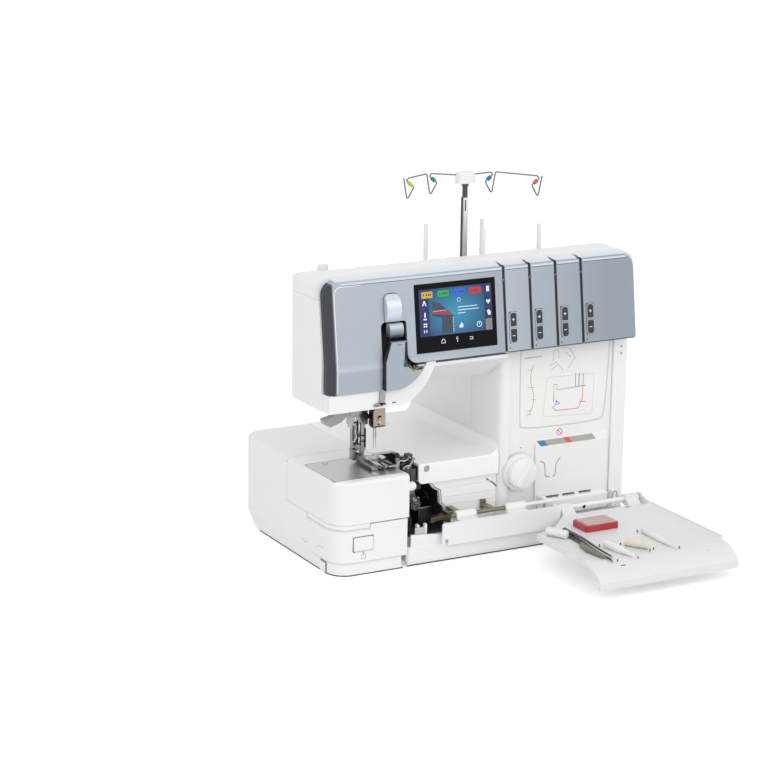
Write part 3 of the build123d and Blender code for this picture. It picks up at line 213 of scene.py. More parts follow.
MACHINE_MIDDLE = (0, 0, 0.2)
softbox("front_softbox", (0.9, -2.3, 1.5), 1.6, 8)
softbox("left_softbox", (-2, -1.2, 1.7), 1.4, 7)
softbox("top_softbox", (-0.9, -0.3, 2.2), 1.6, 4)
print("studio ready with", len(bpy.data.lights), "lamps")

# %% [markdown]
# ## Shared surface effects
# Moulded plastic is never one even colour: it has a fine spark-eroded grain and faint broad blotches.
# Ground steel has long fine lines. Both effects are used by many finishes, so each is a node group
# with named sockets, built once and placed with its own values.

# %% Surface groups
NUMBER, TRIPLE = "NodeSocketFloat", "NodeSocketVector"


def start_group(name, inputs):
    """A node group with its own inputs, which gives a height and a blotch."""
    group = bpy.data.node_groups.new(name, "ShaderNodeTree")
    for title, kind in inputs:
        group.interface.new_socket(title, in_out="INPUT", socket_type=kind)
    for title in ("Height", "Blotch"):
        group.interface.new_socket(title, in_out="OUTPUT", socket_type=NUMBER)
    return group, node(group, "NodeGroupInput"), node(group, "NodeGroupOutput")


def noise(tree, scale_socket, vector_socket, detail):
    made = node(tree, "ShaderNodeTexNoise")
    made.inputs["Detail"].default_value = detail
    link(tree, scale_socket, made.inputs["Scale"])
    link(tree, vector_socket, made.inputs["Vector"])
    return made.outputs["Fac"]


sockets = [("Grain scale", NUMBER), ("Blotch scale", NUMBER)]
moulding, enter, leave = start_group("moulded_grain", sockets)
coords = node(moulding, "ShaderNodeTexCoord")
link(moulding, noise(moulding, enter.outputs[0], coords.outputs["Object"], 2), leave.inputs["Height"])
link(moulding, noise(moulding, enter.outputs[1], coords.outputs["Object"], 3), leave.inputs["Blotch"])

sockets = [("Stretch", TRIPLE), ("Line scale", NUMBER), ("Blotch scale", NUMBER)]
grinding, enter, leave = start_group("ground_lines", sockets)
coords = node(grinding, "ShaderNodeTexCoord")
drawn_out = node(grinding, "ShaderNodeMapping")
link(grinding, coords.outputs["Object"], drawn_out.inputs["Vector"])
link(grinding, enter.outputs["Stretch"], drawn_out.inputs["Scale"])
link(grinding, noise(grinding, enter.outputs[1], drawn_out.outputs[0], 4), leave.inputs["Height"])
link(grinding, noise(grinding, enter.outputs[2], coords.outputs["Object"], 3), leave.inputs["Blotch"])
print("groups:", moulding.name, grinding.name)

# %% [markdown]
# ## Finishes
# One function makes every finish from the same recipe: a surface group drives a slight change of
# colour and gloss and a fine bump, and the constants stay on the shader's own sockets. The base colours are
# the machine's own: near white shells, a blue grey metallic front, black grooves and bright steel. Some
# finishes also carry painted light: painted shade that darkens the metallic front and panels towards
# the right, a painted highlight along the front's fold, a painted dark reflection on the pole, and a lit
# and a shaded copy of the white shell for the bed and the open cover.

# %% The finish recipe
def srgb(*levels):
    """A colour read as screen levels from 0 to 255, as the linear values that Blender uses."""
    return tuple(((v / 255 + 0.055) / 1.055) ** 2.4 if v > 10 else v / 255 / 12.92 for v in levels) + (1,)


def mixed(tree, factor, first, second):
    """A colour node between two colours, or between a colour and another node's output."""
    mix = node(tree, "ShaderNodeMix", data_type="RGBA")
    link(tree, factor, mix.inputs[0])
    for socket, colour in ((mix.inputs[6], first), (mix.inputs[7], second)):
        if isinstance(colour, tuple):
            socket.default_value = colour
        else:
            link(tree, colour, socket)
    return mix.outputs[2]


BUMP_DEPTH, COAT_ROUGH = 0.0003, 0.08


def finish(name, levels, rough, metal=0, grain=900, bump=0.04, swing=0.05, shade=0.06,
           stretch=None, blotch=14, coat=0, glow=0, alpha=1):
    """A node finish: colour and gloss that vary a little, with a fine bump."""
    colour = srgb(*levels)
    made = bpy.data.materials.new(name)
    made.use_nodes = True
    tree = made.node_tree
    shader = tree.nodes["Principled BSDF"]
    surface = node(tree, "ShaderNodeGroup", node_tree=grinding if stretch else moulding)
    if stretch:
        surface.inputs["Stretch"].default_value = stretch
        surface.inputs["Line scale"].default_value = grain
    else:
        surface.inputs["Grain scale"].default_value = grain
    surface.inputs["Blotch scale"].default_value = blotch
    darker = tuple(c * (1 - shade) for c in colour[:3]) + (1,)
    even = ranged(tree, surface.outputs["Blotch"], 0, 1)
    tone = mixed(tree, even, darker, colour)
    link(tree, tone, shader.inputs["Base Color"])
    link(tree, ranged(tree, surface.outputs["Blotch"], rough - swing, rough + swing),
         shader.inputs["Roughness"])
    raised = node(tree, "ShaderNodeBump")
    raised.inputs["Strength"].default_value = bump
    raised.inputs["Distance"].default_value = BUMP_DEPTH
    link(tree, surface.outputs["Height"], raised.inputs["Height"])
    link(tree, raised.outputs[0], shader.inputs["Normal"])
    for title, value in (("Metallic", metal), ("Coat Weight", coat), ("Coat Roughness", COAT_ROUGH),
                         ("Alpha", alpha)):
        shader.inputs[title].default_value = value
    if glow:
        link(tree, tone, shader.inputs["Emission Color"])
        shader.inputs["Emission Strength"].default_value = glow
    return made


def banded(made, axis, start, end, levels, metal=None):
    """Repaint a finish between two places along an axis, sharply or as a slow fade."""
    start, end = (at(place, place, place)[axis] for place in (start, end))
    tree = made.node_tree
    shader = tree.nodes["Principled BSDF"]
    coords = node(tree, "ShaderNodeTexCoord")
    split = node(tree, "ShaderNodeSeparateXYZ")
    link(tree, coords.outputs["Object"], split.inputs[0])
    past = ranged(tree, split.outputs[axis], 0, 1, start, end)
    base = shader.inputs["Base Color"].links[0].from_socket
    link(tree, mixed(tree, past, base, srgb(*levels)), shader.inputs["Base Color"])
    if metal is not None:
        plain = shader.inputs["Metallic"].default_value
        link(tree, ranged(tree, past, plain, metal, 0, 1), shader.inputs["Metallic"])
    return made


print("finish recipe ready")

# %% Shells and the metallic front
SHELL = dict(shade=0.02, bump=0.03, coat=0.15)
white_shell = finish("white_shell", (242, 242, 242), 0.36, **SHELL)
# Painted light: the bed sits in the arm's shade, so it gets a brighter copy of the white shell.
bed_white_lit = finish("bed_white_lit", (252, 252, 252), 0.36, **SHELL)
# Painted shade: the open looper cover gets a darker copy of the white shell.
cover_white_shaded = finish("cover_white_shaded", (230, 230, 231), 0.38, shade=0.02, bump=0.03, coat=0.1)
crown_white = finish("crown_white", (242, 242, 242), 0.36, **SHELL)
CROWN_Y, CROWN_FRONT = 52, 29
banded(crown_white, 1, CROWN_Y, CROWN_FRONT, (214, 223, 233))
white_satin = finish("white_satin", (242, 242, 241), 0.45, shade=0.03, bump=0.05)
pearl_silver = finish("pearl_silver", (184, 193, 202), 0.34, metal=0.35, shade=0.04, bump=0.02)
LEVER_TOP, LEVER_LOW = 297, 286
banded(pearl_silver, 2, LEVER_TOP, LEVER_LOW, (84, 90, 97))
METALLIC = dict(metal=0.45, grain=2600, bump=0.02, shade=0.035)
fascia_paint = finish("fascia_paint", (174, 184, 194), 0.40, swing=0.03, **METALLIC)
# Painted highlight along the fold of the metallic front, with painted shade just below the fold.
FOLD_HIGHLIGHT_TOP, FOLD_Z, FOLD_SHADE_LOW = 259, 252, 247
banded(fascia_paint, 2, FOLD_HIGHLIGHT_TOP, FOLD_Z, (186, 196, 206))
banded(fascia_paint, 2, FOLD_Z, FOLD_SHADE_LOW, (166, 176, 186))
# Painted shade: the metallic front darkens towards the right.
FASCIA_SHADE_FROM, FASCIA_SHADE_TO = 95, 222
banded(fascia_paint, 0, FASCIA_SHADE_FROM, FASCIA_SHADE_TO, (160, 169, 178))
CHAMFER_X, CHAMFER_END = -7.6, -9.2
banded(fascia_paint, 0, CHAMFER_X, CHAMFER_END, (62, 64, 70))
panel_paint = finish("panel_paint", (174, 184, 195), 0.40, swing=0.03, **METALLIC)
# Painted shade: the tension panels darken towards the right.
PANELS_SHADE_FROM, PANELS_SHADE_TO = 225, 372
banded(panel_paint, 0, PANELS_SHADE_FROM, PANELS_SHADE_TO, (148, 157, 166))
# Black for the grooves, also used as painted shade on the take-up blade.
groove_and_shade_black = finish("groove_and_shade_black", (12, 14, 18), 0.45, shade=0.3)
key_charcoal = finish("key_charcoal", (40, 41, 45), 0.45, shade=0.1, grain=1500, bump=0.08)
blade_paint = finish("blade_paint", (163, 173, 183), 0.34, coat=0.2, **METALLIC)
FLAP_Z, FLAP_TOP_Z = 302, 303
banded(blade_paint, 2, FLAP_Z, FLAP_TOP_Z, (210, 217, 226))
screen_glass = finish("screen_glass", (14, 14, 16), 0.07, shade=0.2, bump=0, swing=0.02)
screen_glass.node_tree.nodes["Principled BSDF"].inputs["Specular IOR Level"].default_value = 0.12
print("shell and front finishes:", len(bpy.data.materials) - 1)

# %% Steels, plastics and small parts
bright_steel = finish("bright_steel", (196, 198, 200), 0.18, metal=1, stretch=(1, 1, 12), grain=500,
                      bump=0.03, swing=0.05)
plate_steel = finish("plate_steel", (198, 196, 191), 0.36, metal=0.75, stretch=(1.5, 22, 1.5), grain=240,
                     bump=0.06, swing=0.06)
ground_steel = finish("ground_steel", (164, 166, 168), 0.30, metal=0.9, stretch=(2, 2, 9), grain=420,
                      bump=0.08, swing=0.08, shade=0.2)
wire_steel = finish("wire_steel", (122, 124, 128), 0.22, metal=1, stretch=(2, 2, 9), grain=420, bump=0.03)
pole_chrome = finish("pole_chrome", (224, 226, 228), 0.2, metal=1, stretch=(1, 1, 12), grain=500, bump=0.02)
# Painted reflection: the pole's left edge is painted dark, as chrome reflecting something dark.
POLE_DARK_REFLECTION, POLE_REFLECTION_FADE = 255.8, 256.5
banded(pole_chrome, 0, POLE_REFLECTION_FADE, POLE_DARK_REFLECTION, (62, 64, 68))
dark_steel = finish("dark_steel", (84, 85, 88), 0.34, metal=0.8, stretch=(3, 3, 3), grain=700,
                    bump=0.1, swing=0.1, shade=0.25)
cast_iron = finish("cast_iron", (96, 98, 101), 0.6, metal=0.5, grain=420, bump=0.25, shade=0.2)
grey_plastic = finish("grey_plastic", (166, 168, 170), 0.42, shade=0.06, bump=0.06)
light_grey = finish("light_grey", (196, 197, 198), 0.42, shade=0.04, bump=0.05)
black_plastic = finish("black_plastic", (30, 30, 32), 0.45, shade=0.2, bump=0.08)
black_screw = finish("black_screw", (34, 33, 33), 0.28, metal=0.6, shade=0.2, bump=0.05)
chamber_black = finish("chamber_black", (66, 65, 66), 0.5, shade=0.3, bump=0.1)
rubber = finish("rubber", (38, 38, 40), 0.75, shade=0.2, grain=1400, bump=0.2)
tan_metal = finish("tan_metal", (182, 165, 146), 0.34, metal=0.6, stretch=(4, 4, 1), grain=420,
                   bump=0.06, shade=0.14)
CLAMP_LOW, NEEDLE_TOP = 163, 162.6
banded(tan_metal, 2, CLAMP_LOW, NEEDLE_TOP, (170, 171, 172), metal=1)
bronze = finish("bronze", (142, 138, 122), 0.34, metal=0.8, stretch=(1, 6, 6), grain=420, bump=0.08,
                shade=0.15)
ROD_BOW, ROD_CAP, BLUR = 149, 254, 0.3
banded(bronze, 0, ROD_BOW, ROD_BOW - BLUR, (86, 72, 54))
banded(bronze, 0, ROD_CAP, ROD_CAP + BLUR, (238, 238, 238), metal=0)
red_box = finish("red_box", (178, 34, 40), 0.25, shade=0.15, bump=0.03, coat=0.4)
cream_plastic = finish("cream_plastic", (234, 229, 214), 0.42, shade=0.05, bump=0.05)
# Dark for joints, and for painted shadow lines under the panels and along the floor.
joint_and_shadow_dark = finish("joint_and_shadow_dark", (70, 71, 74), 0.6, shade=0.1)
rim_highlight = finish("rim_highlight", (206, 214, 223), 0.36, metal=0.3, grain=2600, bump=0.02, shade=0.03)
tool_steel = finish("tool_steel", (92, 90, 84), 0.36, metal=0.6, stretch=(2, 9, 2), grain=420, shade=0.2)
tool_brown = finish("tool_brown", (134, 127, 116), 0.42, metal=0.3, stretch=(2, 9, 2), grain=420,
                    shade=0.15)
print("finishes:", len(bpy.data.materials))

# %% [markdown]
# ## Dressing the CAD pieces
# A CAD piece whose shape is right keeps it and only takes a finish in its own material slots.

# %% Dress
DRESS = {
    white_shell: "base_pan free_arm_nose slide_on_table column_housing arm_housing "
                 "cover_carriage threading_dial table_release_button rear_cover",
    bed_white_lit: "bed_cover",
    crown_white: "arm_top_cover",
    cover_white_shaded: "looper_cover",
    white_satin: "column_front_panel guide_head spool_pins spool_tray carry_handle",
    fascia_paint: "head_fascia",
    panel_paint: "tension_panels",
    pearl_silver: "take_up_lever",
    blade_paint: "take_up_cover",
    groove_and_shade_black: "groove_liners",
    key_charcoal: " ".join(f"tension_{sign}_{i}" for sign in ("plus", "minus") for i in range(1, 5)),
    screen_glass: "touch_screen",
    bright_steel: "needle_bar main_shaft plate_screws",
    wire_steel: "guide_wires",
    pole_chrome: "pole_outer_tube",
    plate_steel: "stitch_plate",
    ground_steel: "presser_bar presser_foot lower_knife upper_looper lower_looper feed_dogs bar_bushes",
    dark_steel: "upper_knife pole_inner_tube motor_pulley",
    cast_iron: "frame_casting motor",
    grey_plastic: "foot_lifter handwheel hand_tools",
    chamber_black: "looper_chamber",
    black_plastic: "power_inlet power_switch",
    rubber: "rubber_feet drive_belt",
    tan_metal: "needle_clamp",
    bronze: "hinge_rod",
    red_box: "needle_case",
}
for coat_of, names in DRESS.items():
    for name in names.split():
        for slot in nodes[name].material_slots:
            slot.material = coat_of
undressed = sorted(set(nodes) - set(" ".join(DRESS.values()).split()))
print("undressed nodes:", undressed)

# %% [markdown]
# ## Modelling helpers
# Every new piece starts from a bmesh operator: a cube that is scaled and bevelled, an outline that is
# extruded, or a profile that is spun. A piece keeps its place in its mesh and rides on a CAD body.

# %% From a mesh to a piece
SMOOTH_BELOW = math.radians(35)


def settle(name, mesh, coat_of, body):
    """Give a mesh its finish and smooth shading, and let it ride on a body."""
    mesh.materials.clear()
    mesh.materials.append(coat_of)
    mesh.shade_smooth()
    mesh.set_sharp_from_angle(angle=SMOOTH_BELOW)
    piece = bpy.data.objects.new(name, mesh)
    scene.collection.objects.link(piece)
    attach(piece, body)
    return piece


def add_piece(name, bm, coat_of, body):
    """A piece from a finished bmesh."""
    bmesh.ops.remove_doubles(bm, verts=bm.verts, dist=1e-7)
    bmesh.ops.recalc_face_normals(bm, faces=bm.faces)
    mesh = bpy.data.meshes.new(name)
    bm.to_mesh(mesh)
    bm.free()
    return settle(name, mesh, coat_of, body)


def built(name, coat_of, body, slot, *shapes):
    """One piece from several shapes, each a maker and its own values."""
    bm = bmesh.new()
    for make, *values in shapes:
        make(bm, *values)
    return add_piece(name, bm, coat_of, body)


print("piece helpers ready")


# %% Makers of shapes
def bevel(bm, edges, offset, segments):
    bmesh.ops.bevel(bm, geom=list(edges), offset=offset * 0.001, offset_type="OFFSET", segments=segments,
                    profile=0.5, affect="EDGES", material=-1)


def block(bm, x, y, z, edge=0.6, segments=2):
    """A block between two places on each axis, with rounded edges."""
    made = bmesh.ops.create_cube(bm, size=1)["verts"]
    low, high = at(x[0], y[0], z[0]), at(x[1], y[1], z[1])
    bmesh.ops.scale(bm, verts=made, vec=high - low)
    bmesh.ops.translate(bm, verts=made, vec=(low + high) / 2)
    bevel(bm, {e for v in made for e in v.link_edges}, edge, segments)


def plate(bm, outline, where, thick, lift=0, corner=0):
    """A flat plate with a drawn outline, carried out from a face."""
    ring = [bm.verts.new(where(a, b, lift)) for a, b in outline]
    grown = bmesh.ops.extrude_face_region(bm, geom=[bm.faces.new(ring)])["geom"]
    front = [v for v in grown if isinstance(v, bmesh.types.BMVert)]
    bmesh.ops.translate(bm, verts=front, vec=where(0, 0, thick) - where(0, 0, 0))
    if corner:
        uprights = [e for v in ring for e in v.link_edges if e.other_vert(v) in front]
        bevel(bm, uprights, corner, 4)


def oblong(a, b):
    """The four corners of an upright rectangle."""
    return [(a[0], b[0]), (a[1], b[0]), (a[1], b[1]), (a[0], b[1])]


def ring_of(centre, radius, count=16):
    """Corners evenly round a circle."""
    turns = [2 * math.pi * i / count for i in range(count)]
    return [(centre[0] + radius * math.cos(t), centre[1] + radius * math.sin(t)) for t in turns]


def bend(centre, radius, start, end, count=8):
    """Corners along part of a circle, between two angles in degrees."""
    turns = [math.radians(start + (end - start) * k / count) for k in range(count + 1)]
    return [(centre[0] + radius * math.cos(t), centre[1] + radius * math.sin(t)) for t in turns]


def closed(outline):
    """An outline that comes back to its first corner."""
    return outline + outline[:1]


def turned(bm, start, along, profile, steps=36):
    """A turned piece: (radius, distance) pairs along an axis, spun once round it."""
    along = Vector(along).normalized()
    side, origin = along.orthogonal().normalized(), at(*start)
    line = [bm.verts.new(origin + along * (h * 0.001) + side * (r * 0.001)) for r, h in profile]
    edges = [bm.edges.new(pair) for pair in zip(line, line[1:])]
    bmesh.ops.spin(bm, geom=line + edges, cent=origin, axis=along, dvec=(0, 0, 0), angle=2 * math.pi,
                   steps=steps, use_merge=True, use_normal_flip=False, use_duplicate=False)


def strung(name, runs, radius, coat_of, body, smooth=False, flatten=None):
    """Round wire along runs of places, or printed line work when it is flattened onto a face."""
    curve = bpy.data.curves.new(name, "CURVE")
    curve.dimensions, curve.bevel_depth, curve.bevel_resolution = "3D", radius * 0.001, 2
    curve.use_fill_caps, curve.resolution_u = True, 8
    for run in runs:
        spline = curve.splines.new("NURBS" if smooth else "POLY")
        spline.points.add(len(run) - 1)
        for point, place in zip(spline.points, run):
            point.co = (*at(*place), 1)
        if smooth:
            spline.use_endpoint_u, spline.order_u = True, 3
    holder = bpy.data.objects.new(name + "_path", curve)
    mesh = bpy.data.meshes.new_from_object(holder)
    bpy.data.objects.remove(holder)
    if flatten:
        axis, height = flatten
        squeeze = Matrix.Scale(0.25, 4, axis)
        mesh.transform(Matrix.Translation(height) @ squeeze @ Matrix.Translation(-height))
    return settle(name, mesh, coat_of, body)


FORWARD, UP, LEFTWARD = Vector((0, -1, 0)), Vector((0, 0, 1)), Vector((-1, 0, 0))
print("shape makers ready")

# %% [markdown]
# ## Softened edges
# On the real machine the metallic panels are thin pressings with rolled edges, and each edge catches a
# line of light. The base pan and a few small parts have soft edges too. A merged copy of the CAD mesh is
# bevelled and stands for its node. The copy is merged first, because a CAD mesh is loose triangles and a
# bevel needs joined faces.

# %% Softened copies
SOFT_EDGES = {"head_fascia": 0.9, "tension_panels": 0.8, "take_up_cover": 0.8, "take_up_lever": 0.8,
              "touch_screen": 0.5, "needle_case": 1.2, "rear_cover": 0.8, "foot_lifter": 0.6,
              "needle_clamp": 0.5, "presser_foot": 0.3, "base_pan": 0.6}
BODY_OF = {name: body for body, members in frame["record"]["behaviour"]["bodies"].items()
           for name in members}
SHARP_ABOVE, FLAT_BELOW, JOIN_WITHIN = math.radians(28), math.radians(0.8), 2e-5
for name, width in SOFT_EDGES.items():
    bm = bmesh.new()
    bm.from_mesh(nodes[name].data)
    bmesh.ops.remove_doubles(bm, verts=bm.verts, dist=JOIN_WITHIN)
    bmesh.ops.dissolve_limit(bm, angle_limit=FLAT_BELOW, verts=bm.verts, edges=bm.edges)
    sharp = [e for e in bm.edges if len(e.link_faces) == 2 and e.calc_face_angle(0) > SHARP_ABOVE]
    bmesh.ops.bevel(bm, geom=sharp, offset=width * 0.001, offset_type="OFFSET", segments=3, profile=0.5,
                    affect="EDGES", clamp_overlap=True, material=-1)
    mesh = bpy.data.meshes.new(name + "_soft")
    bm.to_mesh(mesh)
    bm.free()
    piece = settle(name + "_soft", mesh, nodes[name].material_slots[0].material, BODY_OF[name])
    even = piece.modifiers.new("even_shading", "WEIGHTED_NORMAL")
    even.weight, even.keep_sharp = 50, True
    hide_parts(name)
print("softened", len(SOFT_EDGES), "nodes")

# %% [markdown]
# ## Rolled rim and joints
# A thin dark joint runs under the rolled rim along the top of the metallic front. The rim is a pale strip,
# a painted highlight, and a pale line down the front's left edge is a painted highlight too. A dark
# strip under the tension panels is a painted shadow. The stitch plate sits in a fine dark joint too.
# Each line is a thin plate or a wire squeezed flat, because a drawn line that follows the form is
# cheaper than a cut one.

# %% Rim and joint lines
GROOVE_X, GROOVE_W, GROOVE_PITCH = 222, 3.2, 36.9
panel_lefts = [GROOVE_X + GROOVE_PITCH * i + GROOVE_W + 0.2 for i in range(4)]
spans = [(3, GROOVE_X - 1)] + [(left + 0.8, left + GROOVE_PITCH - GROOVE_W - 1.2) for left in panel_lefts]
PANEL_END = 411.5
INK, LIFT = 0.06, 0.02
spans[-1] = (spans[-1][0], PANEL_END - 11)
# The rolled rim is drawn as a pale strip, a painted highlight, with its dark joint below it.
for name, band, coat_of in (("rim_joint", (349.6, 350.2), joint_and_shadow_dark),
                            ("rolled_rim", (350.4, 353), rim_highlight)):
    built(name, coat_of, "machine", "fascia_metallic",
          *((plate, oblong(span, band), on_fascia, INK, LIFT) for span in spans))
# The pale line down the left edge and round the top left corner is a painted highlight.
CORNER, CORNER_R = (2.6, 339.4), 10
edge_line = [(-7.5, 251.6)] + bend(CORNER, CORNER_R + 0.1, 180, 90) + [(30, 349.5), (30, 348.9)]
edge_line += bend(CORNER, CORNER_R - 1, 90, 180) + [(-6.4, 251.6)]
built("left_highlight", white_satin, "machine", "fascia_metallic",
      (plate, edge_line, on_fascia, INK, LIFT),
      (plate, oblong((-7.5, -6.4), (226, 250.4)), on_front(FASCIA_Y), INK, LIFT))
# The dark strip under the panels' bottom edge is a painted shadow.
built("panel_shadow_line", joint_and_shadow_dark, "machine", "charcoal_plastic",
      (plate, oblong((GROOVE_X + 4, PANEL_END - 1.5), (249.8, 250.8)), on_front(FASCIA_Y + 1.4), 0.5))
BED_TOP = 117
strung("plate_joint", [[(84, 12.4, BED_TOP), (-5.6, 12.4, BED_TOP), (-9.1, 15.9, BED_TOP),
                        (-9.1, 89.6, BED_TOP), (-5.6, 93.1, BED_TOP), (84, 93.1, BED_TOP)]], 0.4, joint_and_shadow_dark,
       "machine", flatten=(UP, at(0, 0, BED_TOP)))
built("hole_bottom", grey_plastic, "machine", "grey_plastic",
      (turned, (127, 32.9, 110.5), FORWARD, [(0, 0), (4.1, 0), (4.1, 0.3), (0, 0.3)], 28))
built("table_seal", white_satin, "table", "white_plastic",
      (block, (-13.4, 78), (131.15, 132.35), (66, 116.3), 0.3))
print("rim and joints done")

# %% [markdown]
# ## The picture on the screen
# The screen is black glass with a lit picture behind it. It shows plain generic shapes only: four thread
# tags in the thread colours, a drawing of a seam, a few icons and three touch marks below. Each colour is
# one piece made of thin plates that stand a tenth of a millimetre off the glass, and it gives off its own
# light. The teal pool in the middle is a round gradient in Object coordinates.

# %% Screen colours
def lit_colour(name, *levels):
    return finish(name, levels, 0.25, shade=0.06, bump=0, glow=0.4)


def pooled(made, centre, reach, colour):
    """Brighten a finish towards a place, as a lit screen does in its middle."""
    tree = made.node_tree
    shader = tree.nodes["Principled BSDF"]
    coords, moved = node(tree, "ShaderNodeTexCoord"), node(tree, "ShaderNodeMapping")
    moved.inputs["Scale"].default_value = [1 / r for r in reach]
    moved.inputs["Location"].default_value = [-c / r for c, r in zip(centre, reach)]
    round_fade = node(tree, "ShaderNodeTexGradient", gradient_type="SPHERICAL")
    link(tree, coords.outputs["Object"], moved.inputs["Vector"])
    link(tree, moved.outputs[0], round_fade.inputs[0])
    tone = shader.inputs["Base Color"].links[0].from_socket
    bright = mixed(tree, round_fade.outputs["Fac"], tone, colour)
    for title in ("Base Color", "Emission Color"):
        link(tree, bright, shader.inputs[title])
    return made


screen_blue = pooled(lit_colour("screen_blue", 20, 42, 92), on_fascia(154, 306, 0.5), (0.056, 0.2, 0.04),
                     srgb(40, 128, 158))
screen_navy = lit_colour("screen_navy", 24, 32, 84)
screen_white = lit_colour("screen_white", 196, 206, 218)
screen_slate = lit_colour("screen_slate", 44, 58, 78)
screen_grey = lit_colour("screen_grey", 112, 112, 120)
THREADS = {"yellow": (226, 172, 30), "green": (22, 178, 66), "blue": (36, 96, 226), "red": (214, 28, 36)}
thread_light = {name: lit_colour("screen_" + name, *[0.86 * v for v in levels])
                for name, levels in THREADS.items()}
seam_red = lit_colour("seam_red", 138, 48, 58)
print("screen colours ready")

# %% Screen picture
GLASS_OUT = 0.42


def screen_piece(name, outlines, coat_of, level=0, corner=0):
    lift = GLASS_OUT + 0.09 * level
    return built(name, coat_of, "machine", "screen_glass",
                 *((plate, outline, on_fascia, 0.08, lift, corner) for outline in outlines))


def ring_strip(centre, radius, width, count=20):
    """Small quads round a circle, which make a thin ring."""
    outer, inner = ring_of(centre, radius, count), ring_of(centre, radius - width, count)
    return [[outer[i - 1], outer[i], inner[i], inner[i - 1]] for i in range(count)]


screen_piece("screen_picture", [oblong((105, 195.2), (280.6, 336.2))], screen_blue)
screen_piece("screen_column", [oblong((195.6, 205.2), (294.8, 336.4))], screen_navy)
screen_piece("screen_tab", [oblong((195.6, 204.6), (280.6, 294.4))], screen_grey)
screen_piece("screen_menu", [oblong((105, 118.4), (280.6, 324.6))], screen_navy, 1)
TAG_LEFT, TAG_PITCH = 108.6, 22.2
for i, (name, coat_of) in enumerate(thread_light.items()):
    left = TAG_LEFT + TAG_PITCH * i
    screen_piece("thread_tag_" + name, [oblong((left, left + 15.2), (325.9, 333.4))], coat_of, 1,
                 corner=1.2)
marks = []
for i in range(4):
    left = TAG_LEFT + TAG_PITCH * i
    marks += [[(left + 2, 328.4), (left + 4.6, 329.7), (left + 2, 331)]]
    marks += [oblong((left + 6.4 + 2.6 * k, left + 8.2 + 2.6 * k), (328.6, 330.8)) for k in range(3)]
screen_piece("tag_marks", marks, screen_slate, 2)
seam = [(122.9, 321), (132.4, 318.8), (151.6, 302.8), (151.2, 282), (134.6, 282.2), (135.6, 300.8),
        (122.2, 304.8)]
screen_piece("seam_cloth", [seam], screen_slate, 1)
screen_piece("seam_band", [[(122.7, 311), (144, 308.9), (151.6, 302.8), (122.4, 307)]], seam_red, 2)
stitches = [oblong((150, 151.4), (283.5 + 2.6 * k, 284.6 + 2.6 * k)) for k in range(7)]
stitches += [oblong((124 + 2.3 * k, 125.1 + 2.3 * k), (309.2, 310)) for k in range(8)]
screen_piece("seam_stitches", stitches, screen_white, 3)
print("screen picture done")

# %% Screen icons and touch marks
icons = [[(111.2, 323), (112.8, 323), (115, 317), (113.4, 317), (112, 320.4), (110.6, 317), (109.2, 317)]]
icons += [oblong((111.4, 113.4), (303.4, 309)), oblong((110.2, 114.6), (300.2, 302))]
icons += [oblong((110 + 2.7 * a, 112 + 2.7 * a), (291.8 + 2.7 * b, 293.8 + 2.7 * b)) for a in (0, 1)
          for b in (0, 1)]
icons += [oblong((110.2, 111.4), (285.2, 288.6)), oblong((113.4, 114.6), (285.2, 288.6))]
icons += [oblong((198, 202), (326.6, 333.2))]
icons += [[(200, 311.6), (203, 315.2), (202.2, 317.4), (200, 316.2), (197.8, 317.4), (197, 315.2)]]
icons += [[(197.6, 303.4), (200.2, 305.4), (203, 302.2), (202.6, 298.4), (199.4, 298.4)]]
icons += [[(158.8, 287), (163.8, 287), (164.4, 290.4), (161.6, 293.6), (160.4, 290.6), (158.8, 289.6)]]
icons += ring_strip((186.4, 288.9), 3.6, 0.9) + [oblong((185.9, 186.9), (288.6, 291.2))]
icons += ring_strip((159.6, 320.4), 2.4, 0.5)
icons += [oblong((157.6, 157.6 + wide), (z, z + 0.9)) for wide, z in ((27, 311.2), (29, 307.6), (10, 304))]
screen_piece("screen_icons", icons, screen_white, 2)
touch = [oblong((133.2, 138.8), (270.6, 271.3)), oblong((133.2, 134), (271.2, 273.4)),
         oblong((138, 138.8), (271.2, 273.4))]
touch += [[(132.8, 273.2), (133.9, 273.2), (136, 275.4), (136, 276.5)],
          [(139.2, 273.2), (138.1, 273.2), (136, 275.4), (136, 276.5)]]
touch += [ring_of((155.4, 271), 0.6, 10), oblong((155, 155.8), (272, 273.6))]
touch += ring_strip((155.4, 274.9), 1.7, 0.7)[3:]
touch += [oblong((172.4, 177), (271.6, 272.3)), oblong((172.4, 177), (274.2, 274.9)),
          oblong((176.3, 177), (271.6, 274.9))]
screen_piece("touch_marks", touch, screen_white, 0)
print("icons:", len(icons), "plates, touch marks:", len(touch), "plates")

# %% [markdown]
# ## Key signs, colour dots and thread studs
# Each tension panel has a plus and a minus key, a dot in its thread's colour and, at the top of its
# groove, a small steel stud that the thread passes. The signs ride on their keys, so they go in with them.

# %% Keys and dots
key_white = finish("key_white", (226, 228, 230), 0.5, shade=0.05, bump=0.02)
thread_ink = {name: finish("ink_" + name, levels, 0.5, shade=0.08, bump=0.02)
              for name, levels in THREADS.items()}
dot_ink = {name: finish("dot_" + name, [0.6 * v for v in levels], 0.5, shade=0.08, bump=0.02)
           for name, levels in THREADS.items()}
KEY_OUT, KEY_W, KEY_H, SIGN, STROKE = 0.9, 9.6, 17, 1.9, 0.45
KEY_INSET, PLUS_LOW, MINUS_LOW = 4, 281, 261.5


def rounded(x, z, top, low):
    """An upright rectangle whose upper and lower corners have their own radius."""
    (left, right), (foot, head) = x, z
    return (bend((right - top, head - top), top, 0, 90, 5)
            + bend((left + top, head - top), top, 90, 180, 5)
            + bend((left + low, foot + low), low, 180, 270, 5)
            + bend((right - low, foot + low), low, 270, 360, 5))


